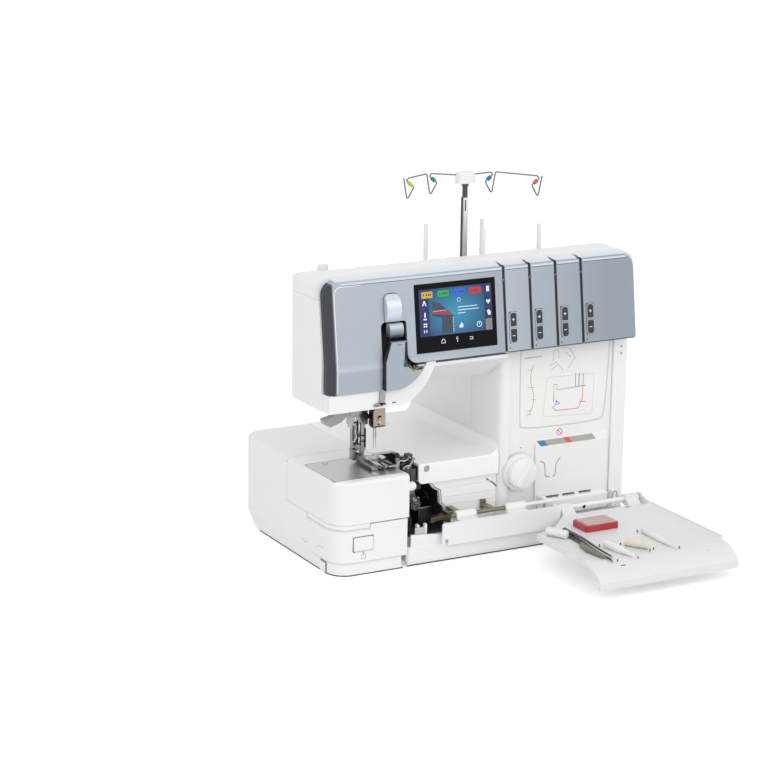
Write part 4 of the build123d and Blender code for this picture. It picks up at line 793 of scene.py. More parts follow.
def bezel(bm, outer, inner, where, thick, lift):
    """A flat ring between two outlines with the same number of corners."""
    rims = [[bm.verts.new(where(a, b, lift)) for a, b in outline] for outline in (outer, inner)]
    faces = [bm.faces.new((rims[0][k - 1], rims[0][k], rims[1][k], rims[1][k - 1]))
             for k in range(len(outer))]
    grown = bmesh.ops.extrude_face_region(bm, geom=faces)["geom"]
    front = [v for v in grown if isinstance(v, bmesh.types.BMVert)]
    bmesh.ops.translate(bm, verts=front, vec=where(0, 0, thick) - where(0, 0, 0))


STUD_Z, STUD = 338, [(0, 0), (1.3, 0), (1.3, 1.2), (0.8, 1.7), (0, 1.8)]
STUD_Y = FASCIA_Y + FASCIA_LEAN * (STUD_Z - BAND_Z) / (FASCIA_TOP - BAND_Z) + 1.6
bezels = bmesh.new()
for i, (dot, left) in enumerate(zip(THREADS, panel_lefts)):
    middle = left + KEY_INSET + KEY_W / 2
    for sign, z in (("plus", PLUS_LOW + KEY_H / 2), ("minus", MINUS_LOW + KEY_H / 2)):
        top, low = (3.4, 0.7) if sign == "plus" else (0.7, 3.4)
        outer, wall, inner = (rounded((middle - KEY_W / 2 - grow, middle + KEY_W / 2 + grow),
                                      (z - KEY_H / 2 - grow, z + KEY_H / 2 + grow), top + grow * 0.5,
                                      low + grow * 0.5) for grow in (0.8, 0.5, -0.5))
        bezel(bezels, outer, wall, on_fascia, KEY_OUT, 0)
        bezel(bezels, outer, inner, on_fascia, 0.12, KEY_OUT + 0.02)
        bm = bmesh.new()
        across = oblong((middle - SIGN, middle + SIGN), (z - STROKE, z + STROKE))
        plate(bm, across, on_fascia, 0.1, lift=KEY_OUT)
        if sign == "plus":
            upright = oblong((middle - STROKE, middle + STROKE), (z - SIGN, z + SIGN))
            plate(bm, upright, on_fascia, 0.14, lift=KEY_OUT)
        add_piece(f"{sign}_sign_{i + 1}", bm, key_white, f"tension_{sign}_{i + 1}_key")
    built("panel_dot_" + dot, dot_ink[dot], "machine", "fascia_metallic",
          (plate, oblong((left + 2.4, left + 4), (253.8, 256.2)), on_fascia, 0.1, 0, 0.3))
    built(f"thread_stud_{i + 1}", wire_steel, "machine", "bright_steel",
          (turned, (left - 1.8, STUD_Y, STUD_Z), FORWARD, STUD, 16))
add_piece("key_bezels", bezels, panel_paint, "machine")
print("keys, dots and studs done")

# %% [markdown]
# ## Threading chart and label on the column
# The panel behind the looper cover carries a printed threading chart: a curve for the looper path, a small
# outline drawing and a framed path with one line for each thread colour. Printed ink has next to no
# height, so each line is a wire that is squeezed flat against the panel.

# %% Chart
chart_grey = finish("chart_grey", (168, 170, 172), 0.55, shade=0.08, bump=0.02)
chart_dark = finish("chart_dark", (92, 94, 98), 0.55, shade=0.1, bump=0.02)
# Pale grey for printed lines, also used as painted shade round the chart's recess.
chart_and_shade_pale = finish("chart_and_shade_pale", (206, 208, 211), 0.55, shade=0.06, bump=0.02)
chart_olive = finish("chart_olive", (164, 166, 104), 0.55, shade=0.1, bump=0.02)
PANEL_Y = 33


def chart_lines(name, runs, coat_of, radius=0.4, smooth=False, y=PANEL_Y, body="machine"):
    """Flat line work on an upright face that looks forward."""
    places = [[(x, y, z) for x, z in run] for run in runs]
    return strung(name, places, radius, coat_of, body, smooth, (FORWARD, at(0, y, 0)))


chart_lines("chart_curve", [[(276.7, 224.3), (274.1, 217.8), (273, 207.7), (273.9, 198.7), (278, 188),
                             (278.9, 177.7), (276.3, 169), (272.8, 161.2)]], chart_olive, 0.4, True)
chart_lines("chart_ticks", [[(270, 217), (276, 219)], [(269, 196), (279, 195)], [(274, 180), (281, 179)],
                            [(269, 165), (277, 167)], [(268, 161), (276, 160.5)]], chart_olive, 0.35)
chart_lines("chart_heading", [[(263.2, 233.4), (288.6, 233.5)]], chart_grey, 0.6)
chart_lines("chart_drawing", [[(305.9, 226), (305.9, 238), (312, 240), (313, 228)],
                              [(318, 241), (329.2, 239.8), (337.1, 227.5), (327.3, 214)],
                              [(300.7, 219.9), (309, 224), (320, 212.7)], [(303, 214), (312, 221)],
                              [(322, 236), (331, 228)]], chart_grey, 0.35)
chart_lines("chart_frame", [[(299.6, 205.4), (364.6, 203.8), (366.4, 201.6), (365.4, 154.4), (363.4, 152),
                             (294.4, 155.6), (292.6, 158), (297.2, 203.6), (299.6, 205.4)]], chart_and_shade_pale,
            0.35)
chart_lines("chart_green", [[(338.8, 206.8), (339.2, 189.4)],
                            [(354.8, 189.4), (312.2, 188), (312.2, 195), (307.5, 195.4), (307.7, 173.1)]],
            thread_ink["green"], 0.5)
chart_lines("chart_blue", [[(344.2, 206.2), (344.4, 189.6)],
                           closed([(311, 174.6), (317.3, 170.1), (313, 169)])], thread_ink["blue"], 0.55)
chart_lines("chart_red", [[(350.7, 205.5), (350.2, 173.3), (344.2, 161), (311.7, 161.5), (306.2, 166.3),
                           (311.4, 170.1)], [(346, 169.4), (355.2, 168.3)]], thread_ink["red"], 0.45)
print("chart drawn")

# %% Label strip and marks
BLOCK_Y, SLOPE_Z, SLOPE_DEEP, SLOPE_HIGH = 29.5, 118, 3.5, 9


def on_slope(x, z, out):
    """The sloping top of the raised block."""
    return at(x, BLOCK_Y + (z - SLOPE_Z) * SLOPE_DEEP / SLOPE_HIGH - out, z)


strip_grey = finish("strip_grey", (176, 172, 164), 0.5, shade=0.08, bump=0.03)
strip_blue = finish("strip_blue", (52, 132, 176), 0.5, shade=0.08, bump=0.03)
strip_red = finish("strip_red", (216, 92, 84), 0.5, shade=0.08, bump=0.03)
for name, span, coat_of in (("label_strip", (284, 366), strip_grey),
                            ("label_blue_end", (284, 294.4), strip_blue),
                            ("label_red_patch", (323, 331), strip_red)):
    lift = 0.05 if name == "label_strip" else 0.12
    left, right = span
    skew = [(left, 125.6), (right, 125.6), (right + 5, 118.8), (left + 5, 118.8)]
    built(name, coat_of, "machine", "white_plastic", (plate, skew, on_slope, 0.08, lift))
stop_sign = [closed(ring_of((317.9, 133.4), 3.9, 24)), [(315.4, 136), (320.4, 130.8)]]
chart_lines("stop_sign", stop_sign, thread_ink["red"], 0.5)
thread_path = [[(288.5, 99.6), (293, 98), (295.6, 94.6), (296.4, 80.4), (298.6, 78.2), (303, 77.6)],
               [(307.5, 77.4), (311, 79), (312, 92.6), (314.5, 97.6), (318, 100.6)]]
chart_lines("thread_path_line", thread_path, chart_dark, 0.5, y=BLOCK_Y)
BED_WALL_Y = 36
chart_lines("bed_pointer", [[(214.3, 85.4), (224, 79), (232.1, 71.4)]], chart_dark, 0.9, y=BED_WALL_Y)
bed_dots = [[(214.6, z), (215.2, z - 0.7)] for z in (96.6, 94)]
chart_lines("bed_dots", bed_dots, chart_dark, 0.7, y=BED_WALL_Y)
print("chart and label done")

# %% [markdown]
# ## Thread stand
# Each thread hook carries a bead in its thread's colour. The beads are turned shapes on the slanting run
# of a hook. The guide is turned a little about the pole, so its places are a reach from the pole and a
# height. A dark collar sits under the guide, a slot shows in the pole, and each spool pin stands in a
# ring of felt.

# %% Beads, collar, felts and slot
POLE_X, POLE_Y, GUIDE_TURN = 260, 180, math.radians(11.3)


def on_guide(reach, z):
    """A place on the guide head, at a reach from the pole."""
    return POLE_X + reach * math.cos(GUIDE_TURN), POLE_Y - reach * math.sin(GUIDE_TURN), z


HOOKS = {"green": (-1, 44.5, 441.5), "yellow": (-1, 74.7, 437), "blue": (1, 33.6, 440.5),
         "red": (1, 96.4, 433.5)}
BEADS = {"green": (24, 140, 118), "yellow": (214, 198, 44), "blue": (32, 108, 176), "red": (218, 88, 86)}
BEAD = [(0.9, 0), (2, 0), (2.6, 0.7), (2.6, 6.1), (2, 6.8), (0.9, 6.8)]
for name, (side, reach, z) in HOOKS.items():
    top = Vector(on_guide(side * (reach + 3.2), z - 3.2))
    low = Vector(on_guide(side * (reach - 7), z - 11.8))
    start = top + (low - top) * 0.26
    bead_paint = finish("bead_paint_" + name, BEADS[name], 0.35, shade=0.08, bump=0.02)
    built("bead_" + name, bead_paint, "guide", "white_plastic", (turned, start, low - top, BEAD, 20))
built("pole_collar", dark_steel, "guide", "bright_steel",
      (turned, (POLE_X, POLE_Y, 424), UP, [(3.5, 0), (4.6, 0.4), (4.6, 3.6), (3.5, 4)]))
built("spool_felts", grey_plastic, "machine", "grey_plastic",
      *((turned, (x, y, 316.9), UP, [(3, 0), (12.4, 0), (13, 0.5), (12.4, 1.2), (4, 1.3), (3, 1)], 28)
        for x, y in ((212, 193), (262, 136), (294, 193), (344, 136))))
strung("pole_slot", [[(258.4, 175.4, 393), (258.4, 175.4, 407)]], 0.8, black_screw, "machine")
print("thread stand dressed")

# %% [markdown]
# ## Take-up and the head's small fittings
# The blade in front of the needle slot gets a black plate on its left flank, which is painted shade,
# and a black strip along its right edge and tail, which is a painted shadow. A green mark at its top
# glows, a painted glow. Brass and green thread guides sit in the corner under the screen. A lamp shows
# green on the head's lip. Two small fillers round the upper corners of the slot, because the CAD cuts
# it square.

# %% Take-up and head fittings
# The lamp on the head's lip glows green; the same glow on the blade's green mark is painted light.
lamp_and_mark_glow = finish("lamp_and_mark_glow", (30, 126, 94), 0.3, shade=0.05, glow=0.15)
brass = finish("brass", (158, 138, 92), 0.3, metal=0.8, stretch=(3, 3, 3), grain=420, shade=0.15)
guide_green = finish("guide_green", (16, 92, 74), 0.4, shade=0.15)
# Painted shade: a black plate on the blade's left flank.
built("blade_shaded_flank", groove_and_shade_black, "machine", "black_gloss",
      (plate, [(54.5, 222.8), (53.8, 257), (60.5, 280.6), (59.4, 280.9), (52.7, 257.2), (53.4, 222.8)],
       on_front(9), 5.4))
built("green_marks", lamp_and_mark_glow, "machine", "charcoal_plastic",
      (block, (68, 73), (2.7, 3.4), (276.8, 278.2), 0.3),
      (block, (67, 72), (11.6, 12.4), (204.6, 206.2), 0.3))
built("guide_block", guide_green, "machine", "charcoal_plastic",
      (block, (77.6, 81.6), (0.9, 3.2), (250.2, 255), 0.6),
      (turned, (79.4, 3.2, 257.4), FORWARD, [(0, 0), (1.6, 0), (1.6, 1.6), (0.9, 2.2), (0, 2.2)], 20))
built("needle_thread_guide", ground_steel, "machine", "brushed_steel",
      (plate, [(49.8, 224), (57, 224), (55.6, 206), (48.6, 206)], on_front(12), 2.4, 0, 0.7))
built("thread_guide_bracket", ground_steel, "machine", "brushed_steel",
      (plate, [(41.6, 203.4), (42.6, 206), (48.6, 207.8), (56.6, 207), (58.6, 204.4), (50, 203)],
       on_front(12), 2.4, 0, 0.5))
built("bracket_marks", black_screw, "machine", "charcoal_plastic",
      (turned, (51.6, 9.7, 205.6), FORWARD, [(0, 0), (1.5, 0), (1.5, 0.8), (0, 1)], 18),
      (block, (43.4, 47.6), (9, 9.9), (204, 204.9), 0.2),
      (block, (54, 57.4), (9, 9.9), (205.2, 206), 0.2))
# Painted shadow: a black strip along the blade's right edge and round its tail.
shadow_edge_outline = [(78.6, 280.4), (80.8, 280.4), (80.4, 262.2)] + bend((96, 262.4), 15.2, 182, 268, 6)
shadow_edge_outline += [(104.8, 246.9), (101, 244.4)] + bend((96, 262.4), 18, 262, 182, 6)
built("blade_shadow_edge", groove_and_shade_black, "machine", "black_gloss", (plate, shadow_edge_outline, on_front(3), 0.25, 0.02))
strung("brass_guides", [[(84, 2.4, 252), (87.5, 1.6, 247.4), (91.5, 1.2, 244.6), (94, 1.6, 247),
                         (98.5, 2.2, 247.4)], [(90, 2.2, 251), (91.4, 1.4, 247), (91, 2.4, 243.4)]], 0.6,
       brass, "machine", True)
SLOT_LEFT, SLOT_RIGHT, SLOT_TOP = 53, 87, 302.5
bm = bmesh.new()
for edge, side, radius, turn in ((SLOT_LEFT, 1, 5, (90, 180)), (SLOT_RIGHT, -1, 3.5, (90, 0))):
    centre = (edge + side * radius, SLOT_TOP - radius)
    plate(bm, [(edge - side * 0.1, SLOT_TOP + 0.1)] + bend(centre, radius, *turn), on_fascia, 1.6,
          lift=-1.6)
add_piece("slot_corners", bm, fascia_paint, "machine")
print("head fittings done")

# %% [markdown]
# ## Presser, foot and needle fittings
# Round the needle the real machine is a crowd of small plates, screws, springs and guides. Each is a
# bevelled block, a turned screw or a bent wire, on the body that it moves with. That way the foot lifts
# with its own spring and the clamp takes its screw along.

# %% Presser and foot
clear_plastic = finish("clear_plastic", (216, 219, 221), 0.25, shade=0.05, bump=0.03, alpha=0.82)
built("presser_top_plate", ground_steel, "presser", "brushed_steel",
      (block, (37.5, 62.5), (68.6, 72), (175.5, 185.6), 0.8),
      (block, (40.5, 57), (66.6, 68.8), (178, 183), 0.6),
      (block, (47, 61), (69.2, 71.2), (167.5, 175.5), 0.7))
built("thread_shield", clear_plastic, "presser", "white_plastic",
      (plate, [(38.5, 177), (47.5, 177), (49, 166), (44, 162.6), (38.5, 163.6)], on_front(70.6), 1.8, 0, 1))
thumb_screw = [(0, -3), (2.6, -3), (3.7, 0), (3.7, 3.4), (2.9, 4.2), (0, 4.2)]
built("presser_screws", black_screw, "presser", "charcoal_plastic",
      (turned, (60.8, 66.8, 176.3), FORWARD, thumb_screw, 24),
      (turned, (58, 70.8, 170), FORWARD, [(0, -2), (1.5, -2), (1.5, 1.3), (0, 1.5)], 16),
      (turned, (52.4, 70.8, 161.5), FORWARD, [(0, -2), (1.7, -2), (1.7, 1.3), (0, 1.5)], 16),
      (turned, (47.5, 69.5, 143), FORWARD, [(0, -3), (2.2, -3), (2.2, 1.4), (0, 1.6)], 16))
built("shank_plates", ground_steel, "presser", "brushed_steel",
      (plate, [(56, 166), (62, 166), (62.8, 140), (63.6, 132.6), (57.2, 132.6), (56, 150)], on_front(71.2),
       1.2, 0, 0.6),
      (block, (46.2, 50), (69.4, 72), (150, 166), 0.7),
      (block, (44.6, 49.4), (68.6, 74), (139.4, 147.4), 1),
      (block, (49, 54.5), (69.6, 71.6), (133, 140), 0.6),
      (turned, (52.4, 70.9, 156), FORWARD, [(0, -1), (3, -1), (3, 1), (2.2, 1.6), (0, 1.6)], 24))
shank_lines_at = (((44.9, 46), (146, 166)), ((50.7, 51.7), (141, 171)), ((55, 55.8), (139, 167)),
                  ((57.4, 60.6), (150.4, 151.8)), ((57.4, 61.2), (143.4, 144.6)),
                  ((45.8, 49.6), (168, 169.6)), ((44.8, 48.4), (135.2, 137)), ((61.6, 62.6), (136, 160)))
built("shank_lines", black_screw, "presser", "charcoal_plastic",
      *((block, x, (67.9, 70.2), z, 0.3) for x, z in shank_lines_at))
shank_rollers_at = (((52.2, 54.6), (157, 168)), ((52, 54.2), (141, 150)), ((46.6, 49.8), (171, 176)))
built("shank_rollers", bright_steel, "presser", "bright_steel",
      *((block, x, (68, 70.2), z, 0.4) for x, z in shank_rollers_at))
strung("presser_spring", [[(51, 69.6, 165), (47, 68.4, 158), (50.5, 68.4, 151), (46.8, 68.6, 146),
                           (48.6, 69, 139), (53, 69, 134)]], 0.8, bright_steel, "presser",
       True)
built("foot_rail", dark_steel, "foot", "cast_frame",
      (block, (49.4, 51.2), (31, 67), (118, 121.6), 0.5),
      (block, (51.2, 53.2), (60.5, 76), (120, 130.4), 0.6),
      (block, (60.5, 66.5), (25.4, 29.5), (120.2, 123.2), 0.6),
      (block, (77.5, 82.5), (33, 52), (120.4, 122.2), 0.5))
built("foot_guides", bright_steel, "foot", "bright_steel",
      (block, (60, 64.8), (33, 58), (120.2, 123.8), 0.8),
      (block, (76, 83.6), (54, 66), (120.3, 125), 0.8),
      (block, (59.5, 66), (61, 67.5), (120.3, 123.6), 0.7))
strung("foot_spring", [[(58.5, 64, 127.4), (63, 58, 126), (66, 52, 124.4), (67, 44, 123.4)],
                       [(58.5, 68, 127), (67, 67.6, 126.2), (76, 64.5, 125.4), (79.5, 54, 123.4)]],
       0.7, bright_steel, "foot", True)
print("presser and foot done")

# %% Needle clamp, loopers and knife
built("clamp_screws", black_screw, "needle", "charcoal_plastic",
      (block, (70.6, 75.4), (52.5, 53.6), (173.8, 178.4), 0.4),
      (turned, (71.5, 53.2, 167.6), FORWARD, [(0, 0), (1, 0), (1, 0.8), (0, 1)], 14),
      (block, (64.4, 66.6), (54.4, 65.4), (165, 184.4), 0.4),
      (block, (64.6, 79), (53.4, 65.6), (184.6, 187.4), 0.6))
built("clamp_pin", bright_steel, "needle", "bright_steel",
      (turned, (72.8, 53.2, 170.4), FORWARD, [(0, 0), (1.9, 0), (1.9, 0.8), (1.2, 1.2), (0, 0.9)], 18))
strung("clamp_guide", [[(80.6, 54, 168), (84.6, 52.6, 166), (86, 53.4, 167.4)]], 0.7, bright_steel,
       "needle", True)
built("bar_flange", dark_steel, "needle", "cast_frame",
      (block, (68, 86), (50, 68), (190.2, 192.4), 0.6),
      (turned, (78, 60, 192.4), UP, [(3.3, 0), (5.6, 0), (5.6, 2), (3.3, 2.6)]))
built("knife_holder_face", dark_steel, "moving_knife", "cast_frame",
      (block, (94.6, 107), (33, 36.4), (104, 117), 0.8),
      (block, (96, 103), (37, 46), (119.6, 127), 1),
      (turned, (101, 33.4, 110.4), FORWARD, [(0, 0), (3.2, 0), (3.2, 1.8), (2.4, 2.6), (0, 2.6)], 20))
built("knife_links", ground_steel, "moving_knife", "brushed_steel",
      (plate, [(99.6, 113.6), (102, 113), (111.6, 125.4), (109.6, 127.2)], on_front(33.4), 1.4, 0, 0.7),
      (block, (88, 93), (37, 40), (112, 124), 0.6),
      (block, (91.4, 96), (41, 47), (121, 124.4), 0.6))
built("knife_knob", dark_steel, "moving_knife", "cast_frame",
      (block, (102.5, 110.5), (36.6, 46), (120.6, 130), 1.2),
      (block, (106, 113.5), (33, 36.5), (93, 112), 0.8))
strung("knife_wires", [[(90.5, 36, 122), (93, 35, 125.5), (98, 34.5, 122), (103, 34, 126)],
                       [(95, 33.2, 114), (99, 32.6, 118.5), (105, 32.6, 117)],
                       [(104, 35.8, 128), (109, 35.4, 124), (112, 34.6, 119)]], 0.7, bright_steel,
       "moving_knife", True)
print("needle and knife done")

# %% [markdown]
# ## The looper chamber
# Through the opening one sees a dark well with a few bright edges: a looper arc, a few fittings and dark
# blocks below. The opening has a stepped grey rim. These are wires and blocks on the fixed machine.

# %% Chamber
dark_red = finish("dark_red", (74, 26, 26), 0.5, shade=0.2)
OPENING = [(135, 92), (135, 88), (138, 84), (146.5, 79), (148, 63), (154, 57), (156, 48), (157, 37)]
strung("opening_rim", [[(x + 0.5, 35.7, z) for x, z in OPENING]], 1, light_grey, "machine")
strung("opening_line", [[(x + 3.2, 36, z + 0.4) for x, z in OPENING[1:]]], 0.5, chart_dark, "machine")
strung("looper_arc", [[(120.8, 66, 63.7), (126.2, 66, 72), (137.4, 66, 74.3), (147.4, 66, 69.1),
                       (150.5, 66, 59.6)]], 1.6, dark_steel, "machine", True)
strung("chamber_edges", [[(128.5, 51, 43.6), (128.5, 51, 69.3)], [(129, 51, 54.5), (146, 51, 55.2)],
                         [(139, 60, 64), (145, 60, 64.6)]], 0.5, ground_steel, "machine")
chamber_fittings_at = ((116.5, 66, 4, 5), (120.5, 60.5, 3, 4), (118, 54.5, 2.6, 6), (123, 68.5, 3.4, 2.4))
built("chamber_fittings", ground_steel, "machine", "brushed_steel",
      *((block, (x, x + wide), (46, 49), (z, z + high), 0.7) for x, z, wide, high in chamber_fittings_at),
      (turned, (121, 47.5, 66), FORWARD, [(0, 0), (2.4, 0), (2.4, 1.4), (1.4, 2), (0, 2)], 20))
built("chamber_blocks", dark_steel, "machine", "cast_frame",
      (block, (103.5, 113), (41, 47), (30, 50), 1),
      (block, (131, 150), (56, 60), (30, 52), 1))
built("red_tab", dark_red, "machine", "red_plastic",
      (block, (118, 126), (42, 46), (82, 90), 1))
built("pan_tongue", light_grey, "machine", "grey_plastic",
      (block, (98.6, 111.6), (6.4, 8.4), (33, 46), 0.5))
print("chamber done")

# %% [markdown]
# ## Base wall and floor lines
# The pan has a low wall beside the fork that carries the hinge rod, and a skirt that almost reaches the
# floor. A thin dark line shows where the shells come down. The white floor is too bright to hold so fine
# a shadow, so a dark wire draws it. The table has a small foot at its left, and the joint between nose and
# table is filled with a light strip, as a seal would fill it.

# %% Base wall and floor lines
PAN_LEFT, PAN_RIGHT, PAN_FRONT, PAN_LOW = 86.5, 413, 2, 5
pan_wall = [(91.5, 23), (150, 23), (150, 33.5), (91.5, 39)]
built("pan_wall", white_shell, "machine", "white_plastic",
      (plate, pan_wall, on_front(5.6), 2, 0, 1),
      (block, (PAN_LEFT, PAN_RIGHT), (PAN_FRONT + 1, PAN_FRONT + 4), (1.8, PAN_LOW + 0.2), 0.4))
FLOOR_LINE = 0.9
strung("pan_floor_line", [[(x, PAN_FRONT + 1.2, FLOOR_LINE) for x in (PAN_LEFT, PAN_RIGHT)]], 0.8,
       joint_and_shadow_dark, "machine")
table_edge = [(79, 1.4)] + bend((11.2, 25.2), 23.8, 270, 180) + [(-12.6, 205)]
strung("table_floor_line", [[(x, y, FLOOR_LINE) for x, y in table_edge]], 0.8, joint_and_shadow_dark, "table")
joint_fill = bend((-10, 127), 4.15, 163, 92) + bend((-10, 136.5), 4.15, 268, 197)
built("table_foot", white_shell, "table", "white_plastic",
      (block, (-15, -11), (24.4, 37.6), (0.7, 13.6), 0.8),
      (plate, joint_fill, on_top(62.6), 48.9),
      (block, (-13.5, -11.5), (75, 131.2), (62.6, 63.8), 0.1))
foot_lines = [[(23.9, 1.2), (23.9, 13.8)], [(24.4, 14.1), (37.6, 14.1)]]
strung("foot_lines", [[(-13.4, y, z) for y, z in run] for run in foot_lines], 0.5, joint_and_shadow_dark, "table")
print("base dressed")

# %% [markdown]
# ## Dial, button and embossed marks
# The dial has a broad grip ridge across its face, which is a plate with round ends. The release button
# sits in a dark joint, and the shells carry a few raised marks: arrows on the table and ribs on the wall.

# %% Dial, button and marks
DIAL_X, DIAL_Z, DIAL_FRONT = 257, 90.5, 16
ridge_turn = math.radians(58)
across_ridge, along_ridge = 4.6, 17
tapered = ((-along_ridge, -across_ridge), (along_ridge, -across_ridge * 0.7),
           (along_ridge, across_ridge * 0.7), (-along_ridge, across_ridge))
cosine, sine = math.cos(ridge_turn), math.sin(ridge_turn)
ridge = [(DIAL_X + a * cosine - b * sine, DIAL_Z + a * sine + b * cosine) for a, b in tapered]
bm = bmesh.new()
plate(bm, ridge, on_front(DIAL_FRONT), 4, lift=-0.4, corner=2.6)
bevel(bm, [e for e in bm.edges if all(v.co.y < at(0, DIAL_FRONT - 3, 0).y for v in e.verts)], 1.4, 3)
dial_disc = [(0, 0), (17.4, 0), (18, 0.6), (17.2, 1.1), (0, 0.7)]
turned(bm, (DIAL_X, DIAL_FRONT + 0.3, DIAL_Z), FORWARD, dial_disc, 48)
add_piece("dial_ridge", bm, white_shell, "dial")
chart_lines("dial_mark", [[(260.4, 119.6), (262.6, 119.6)]], chart_dark, 0.6)
button_joint = [(10.6, 30.6), (37.4, 30.6), (37.4, 48.4), (10.6, 48.4), (10.6, 30.6)]
chart_lines("button_joint", [button_joint], joint_and_shadow_dark, 0.7, False, 0, "table")
built("button_face", white_shell, "table_button", "white_plastic",
      (plate, [(11.8, 33.4), (36.2, 33.4), (36.2, 45.8), (25.6, 46.6), (24, 45), (22.4, 46.6),
               (11.8, 45.8)], on_front(-1.2), 0.5, 0, 1))
button_icon = [[(21.6, 20.6), (21.6, 26.4), (27.4, 26.4), (27.4, 20.6), (21.6, 20.6)],
               [(24.5, 24), (24.5, 29.4)], [(23, 27.8), (24.5, 29.6), (26, 27.8)]]
chart_lines("button_icon", button_icon, chart_grey, 0.4, y=0, body="table")
arrows = [[(86.4, 27.7), (78.1, 23.6), (69.8, 27.9)], [(47.9, 26.9), (39.8, 31.1), (29, 30)]]
strung("table_arrows", [[(-14, y, z) for y, z in run] for run in arrows], 0.6, chart_and_shade_pale, "table",
       flatten=(LEFTWARD, at(-14, 0, 0)))
skirt = [(78, 0)] + bend((11, 25), 25, 270, 180) + [(-14, 60)]
strung("table_skirt", [[(x, y, 16.6) for x, y in skirt]], 0.4, chart_and_shade_pale, "table")
bed_ribs = [[(x, z), (227, z)] for x, z in ((150, 82), (153, 70), (158, 60))]
chart_lines("bed_ribs", bed_ribs, white_shell, 0.9, y=BED_WALL_Y)
# Painted shade: a pale grey line round the chart's recess stands for the shade at its edge.
panel_recess_shade_line = [(258, 243), (258, 150), (262, 143), (376, 141), (385, 150), (388, 243)]
chart_lines("panel_recess_shade_line", [panel_recess_shade_line], chart_and_shade_pale, 0.9, True)
chart_lines("panel_boss", [closed(ring_of((375, 226.5), 7.5, 28))], white_satin, 0.6)
built("panel_notch", light_grey, "machine", "grey_plastic",
      (block, (284.4, 293.4), (28.2, 29.8), (35.6, 48.6), 0.6))
latch_clip = [(394, 33), (393.6, 42), (395.2, 48), (399.6, 48.6), (401.6, 42), (402, 33)]
strung("latch_clip", [[(x, 22.6, z) for x, z in latch_clip]], 0.5, ground_steel, "machine",
       True)
built("hinge_dot", black_screw, "carriage", "charcoal_plastic",
      (turned, (337.4, 1.4, 42), FORWARD, [(0, 0), (2.1, 0), (2.1, 0.5), (0, 0.6)], 18))
print("marks done")

# %% [markdown]
# ## Tools in the open cover
# The cover holds a needle case with a clear lid, tweezers, two white tools, a cream spool part and a
# white roll, held by small clips. The tools are drawn in the CAD as plain bodies, so these finer pieces
# stand for them.

# %% Tweezers
FLOOR_Z = 38
on_floor = on_top(FLOOR_Z)
built("tweezers", tool_steel, "cover", "cast_frame",
      (plate, [(259, -64), (265.4, -64), (264.6, -100), (258.6, -150), (257.2, -182), (255.6, -182),
               (255.4, -150), (258, -100)], on_floor, 2, 1, 0.6),
      (plate, [(262, -66), (267.4, -64), (267, -104), (261.2, -150), (258.6, -180), (257.6, -180),
               (259, -150), (263.2, -104)], on_floor, 1.6, 4.2, 0.6))
plate_outline = [(259, -114), (251.6, -121), (247.4, -142), (251, -170), (256.6, -174)]
tweezer_plate = built("tweezer_plate", tool_brown, "cover", "cast_frame",
                      (plate, plate_outline, on_floor, 3, 0.6, 0.8))
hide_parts("hand_tools")
print("tweezers done")


# %% Turned tools
def rod_tool(bm, start, end, thick, thin):
    """A handle that tapers to a thin tip, lying on the cover."""
    start, end = Vector(start), Vector(end)
    reach = (end - start).length
    handle = [(0, 0), (thick * 0.8, 0.3), (thick, 1.4), (thick, reach * 0.55)]
    tip = [(thick * 0.8, reach * 0.62), (thin, reach * 0.8), (thin * 0.8, reach - 0.6), (0, reach)]
    turned(bm, start, end - start, handle + tip, 24)


built("white_tools", white_shell, "cover", "white_plastic",
      (rod_tool, (279, -134, 42.8), (287, -184, 41), 4.6, 2.4),
      (rod_tool, (350.4, -108, 41.8), (350.6, -182, 40), 3.4, 1.4))


def ribbed(pitch, ridge, end):
    """The profile of a roll with nine ribs: each ridge starts and ends, then dips."""
    profile = [(0, 0)]
    for k in range(9):
        profile += [(r, h + pitch * k) for r, h in ridge]
    return profile + [(0, end)]


SPOOL_RIDGE = [(5.2, 0.4), (5.2, 2.4), (4.4, 2.7), (4.4, 3.5)]
ROLL_RIDGE = [(5.2, 0.3), (5.2, 2), (4.2, 2.3), (4.2, 3)]
built("ribbed_spool", cream_plastic, "cover", "white_plastic",
      (turned, (304, -140, 43.6), (0.55, -0.83, 0), ribbed(3.4, SPOOL_RIDGE, 31), 24))
built("ribbed_roll", white_shell, "cover", "white_plastic",
      (turned, (241, -66, 43.6), (0.5, -0.86, 0), ribbed(3, ROLL_RIDGE, 27.4), 24))
print("turned tools done")

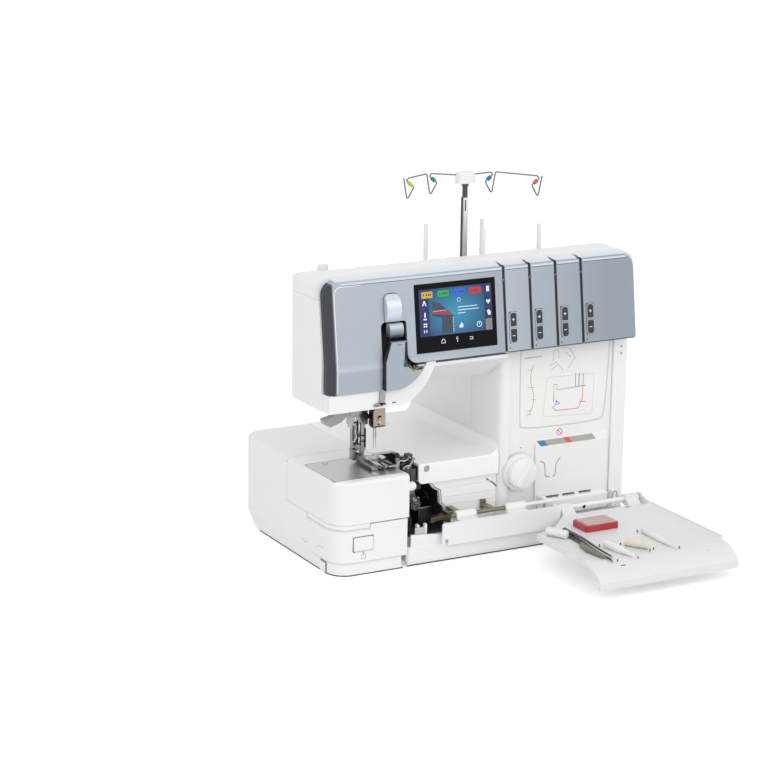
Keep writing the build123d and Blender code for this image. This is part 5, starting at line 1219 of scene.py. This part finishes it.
# %% Clips and needle case
bm = bmesh.new()
for x, y in ((290, -188), (274, -130), (262.5, -186), (254.5, -186), (300, -136), (326, -168), (316, -148),
             (356, -178), (346, -104), (318, -172)):
    block(bm, (x - 0.7, x + 0.7), (y - 0.6, y + 0.6), (FLOOR_Z, FLOOR_Z + 3), 0.3)
for x, y in ((268, -190), (390, -189), (393, -14)):
    low = 37.6 if y > -100 else 33.6
    block(bm, (x - 3.2, x + 3.2), (y - 1.2, y + 1.2), (low - 0.6, low + 0.7), 0.3)
add_piece("tool_clips", bm, chart_dark, "cover")
lid_pink = finish("lid_pink", (232, 190, 186), 0.2, shade=0.06, bump=0.02, alpha=0.75)
built("case_lid", lid_pink, "cover", "red_plastic",
      (plate, oblong((292, 333.5), (-77.5, -49.5)), on_top(46), 0.7, -0.2, 1.6))
built("case_ribs", light_grey, "cover", "white_plastic",
      *((block, (296 + 5.4 * k, 297.4 + 5.4 * k), (-72, -53), (46.3, 46.8), 0.15) for k in range(7)),
      (block, (292.6, 333), (-76.9, -75.9), (46.3, 46.8), 0.2))
print("cover tools done")

# %% [markdown]
# ## Right side and back
# These sides are not in the photograph. They get what such a machine has there: a knurled handwheel rim,
# marks on the rocker switch, cover screws and a ribbed grip on the carry handle. A strip closes the
# head's back left corner.

# %% Other sides
knurl = [(0, 0), (1.1, 0.5), (1.1, 13.5), (0, 14)]
built("wheel_knurl", dark_steel, "shaft", "grey_plastic",
      *((turned, (420.5, y, z), (1, 0, 0), knurl, 10) for y, z in ring_of((120, 80), 35.6, 36)))
switch_runs = [[(216, 97.5), (216, 101.5)], closed(ring_of((216, 89), 2, 16))]
strung("switch_marks", [[(417.3, y, z) for y, z in run] for run in switch_runs], 0.35, key_white, "switch")
rear_screw = [(0, 0), (3.6, 0), (3.6, 0.7), (2.8, 1), (1.2, 0.5), (0, 0.5)]
built("rear_screws", dark_steel, "machine", "cast_frame",
      *((turned, (x, 257, z), (0, 1, 0), rear_screw, 20) for x in (238, 406) for z in (34, 300)))
grip_rib = [(4.6, 0), (5.8, 0.4), (6, 1), (6, 2.4), (5.8, 3), (4.6, 3.4)]
built("handle_ribs", white_satin, "handle", "white_plastic",
      *((turned, (58 + 6.6 * k, 136, 331), (1, 0, 0), grip_rib, 28) for k in range(14)))
BACK_CORNER, BACK_R, HEAD_LOW, HEAD_JOINT = (-3, 102), 16, 200, 331.6
strip = bend(BACK_CORNER, BACK_R - 0.03, 121, 149) + bend(BACK_CORNER, BACK_R - 1.6, 149, 121)
built("back_corner_strip", white_shell, "machine", "white_plastic",
      (plate, strip, on_top(HEAD_LOW), HEAD_JOINT - HEAD_LOW))
print("other sides done")
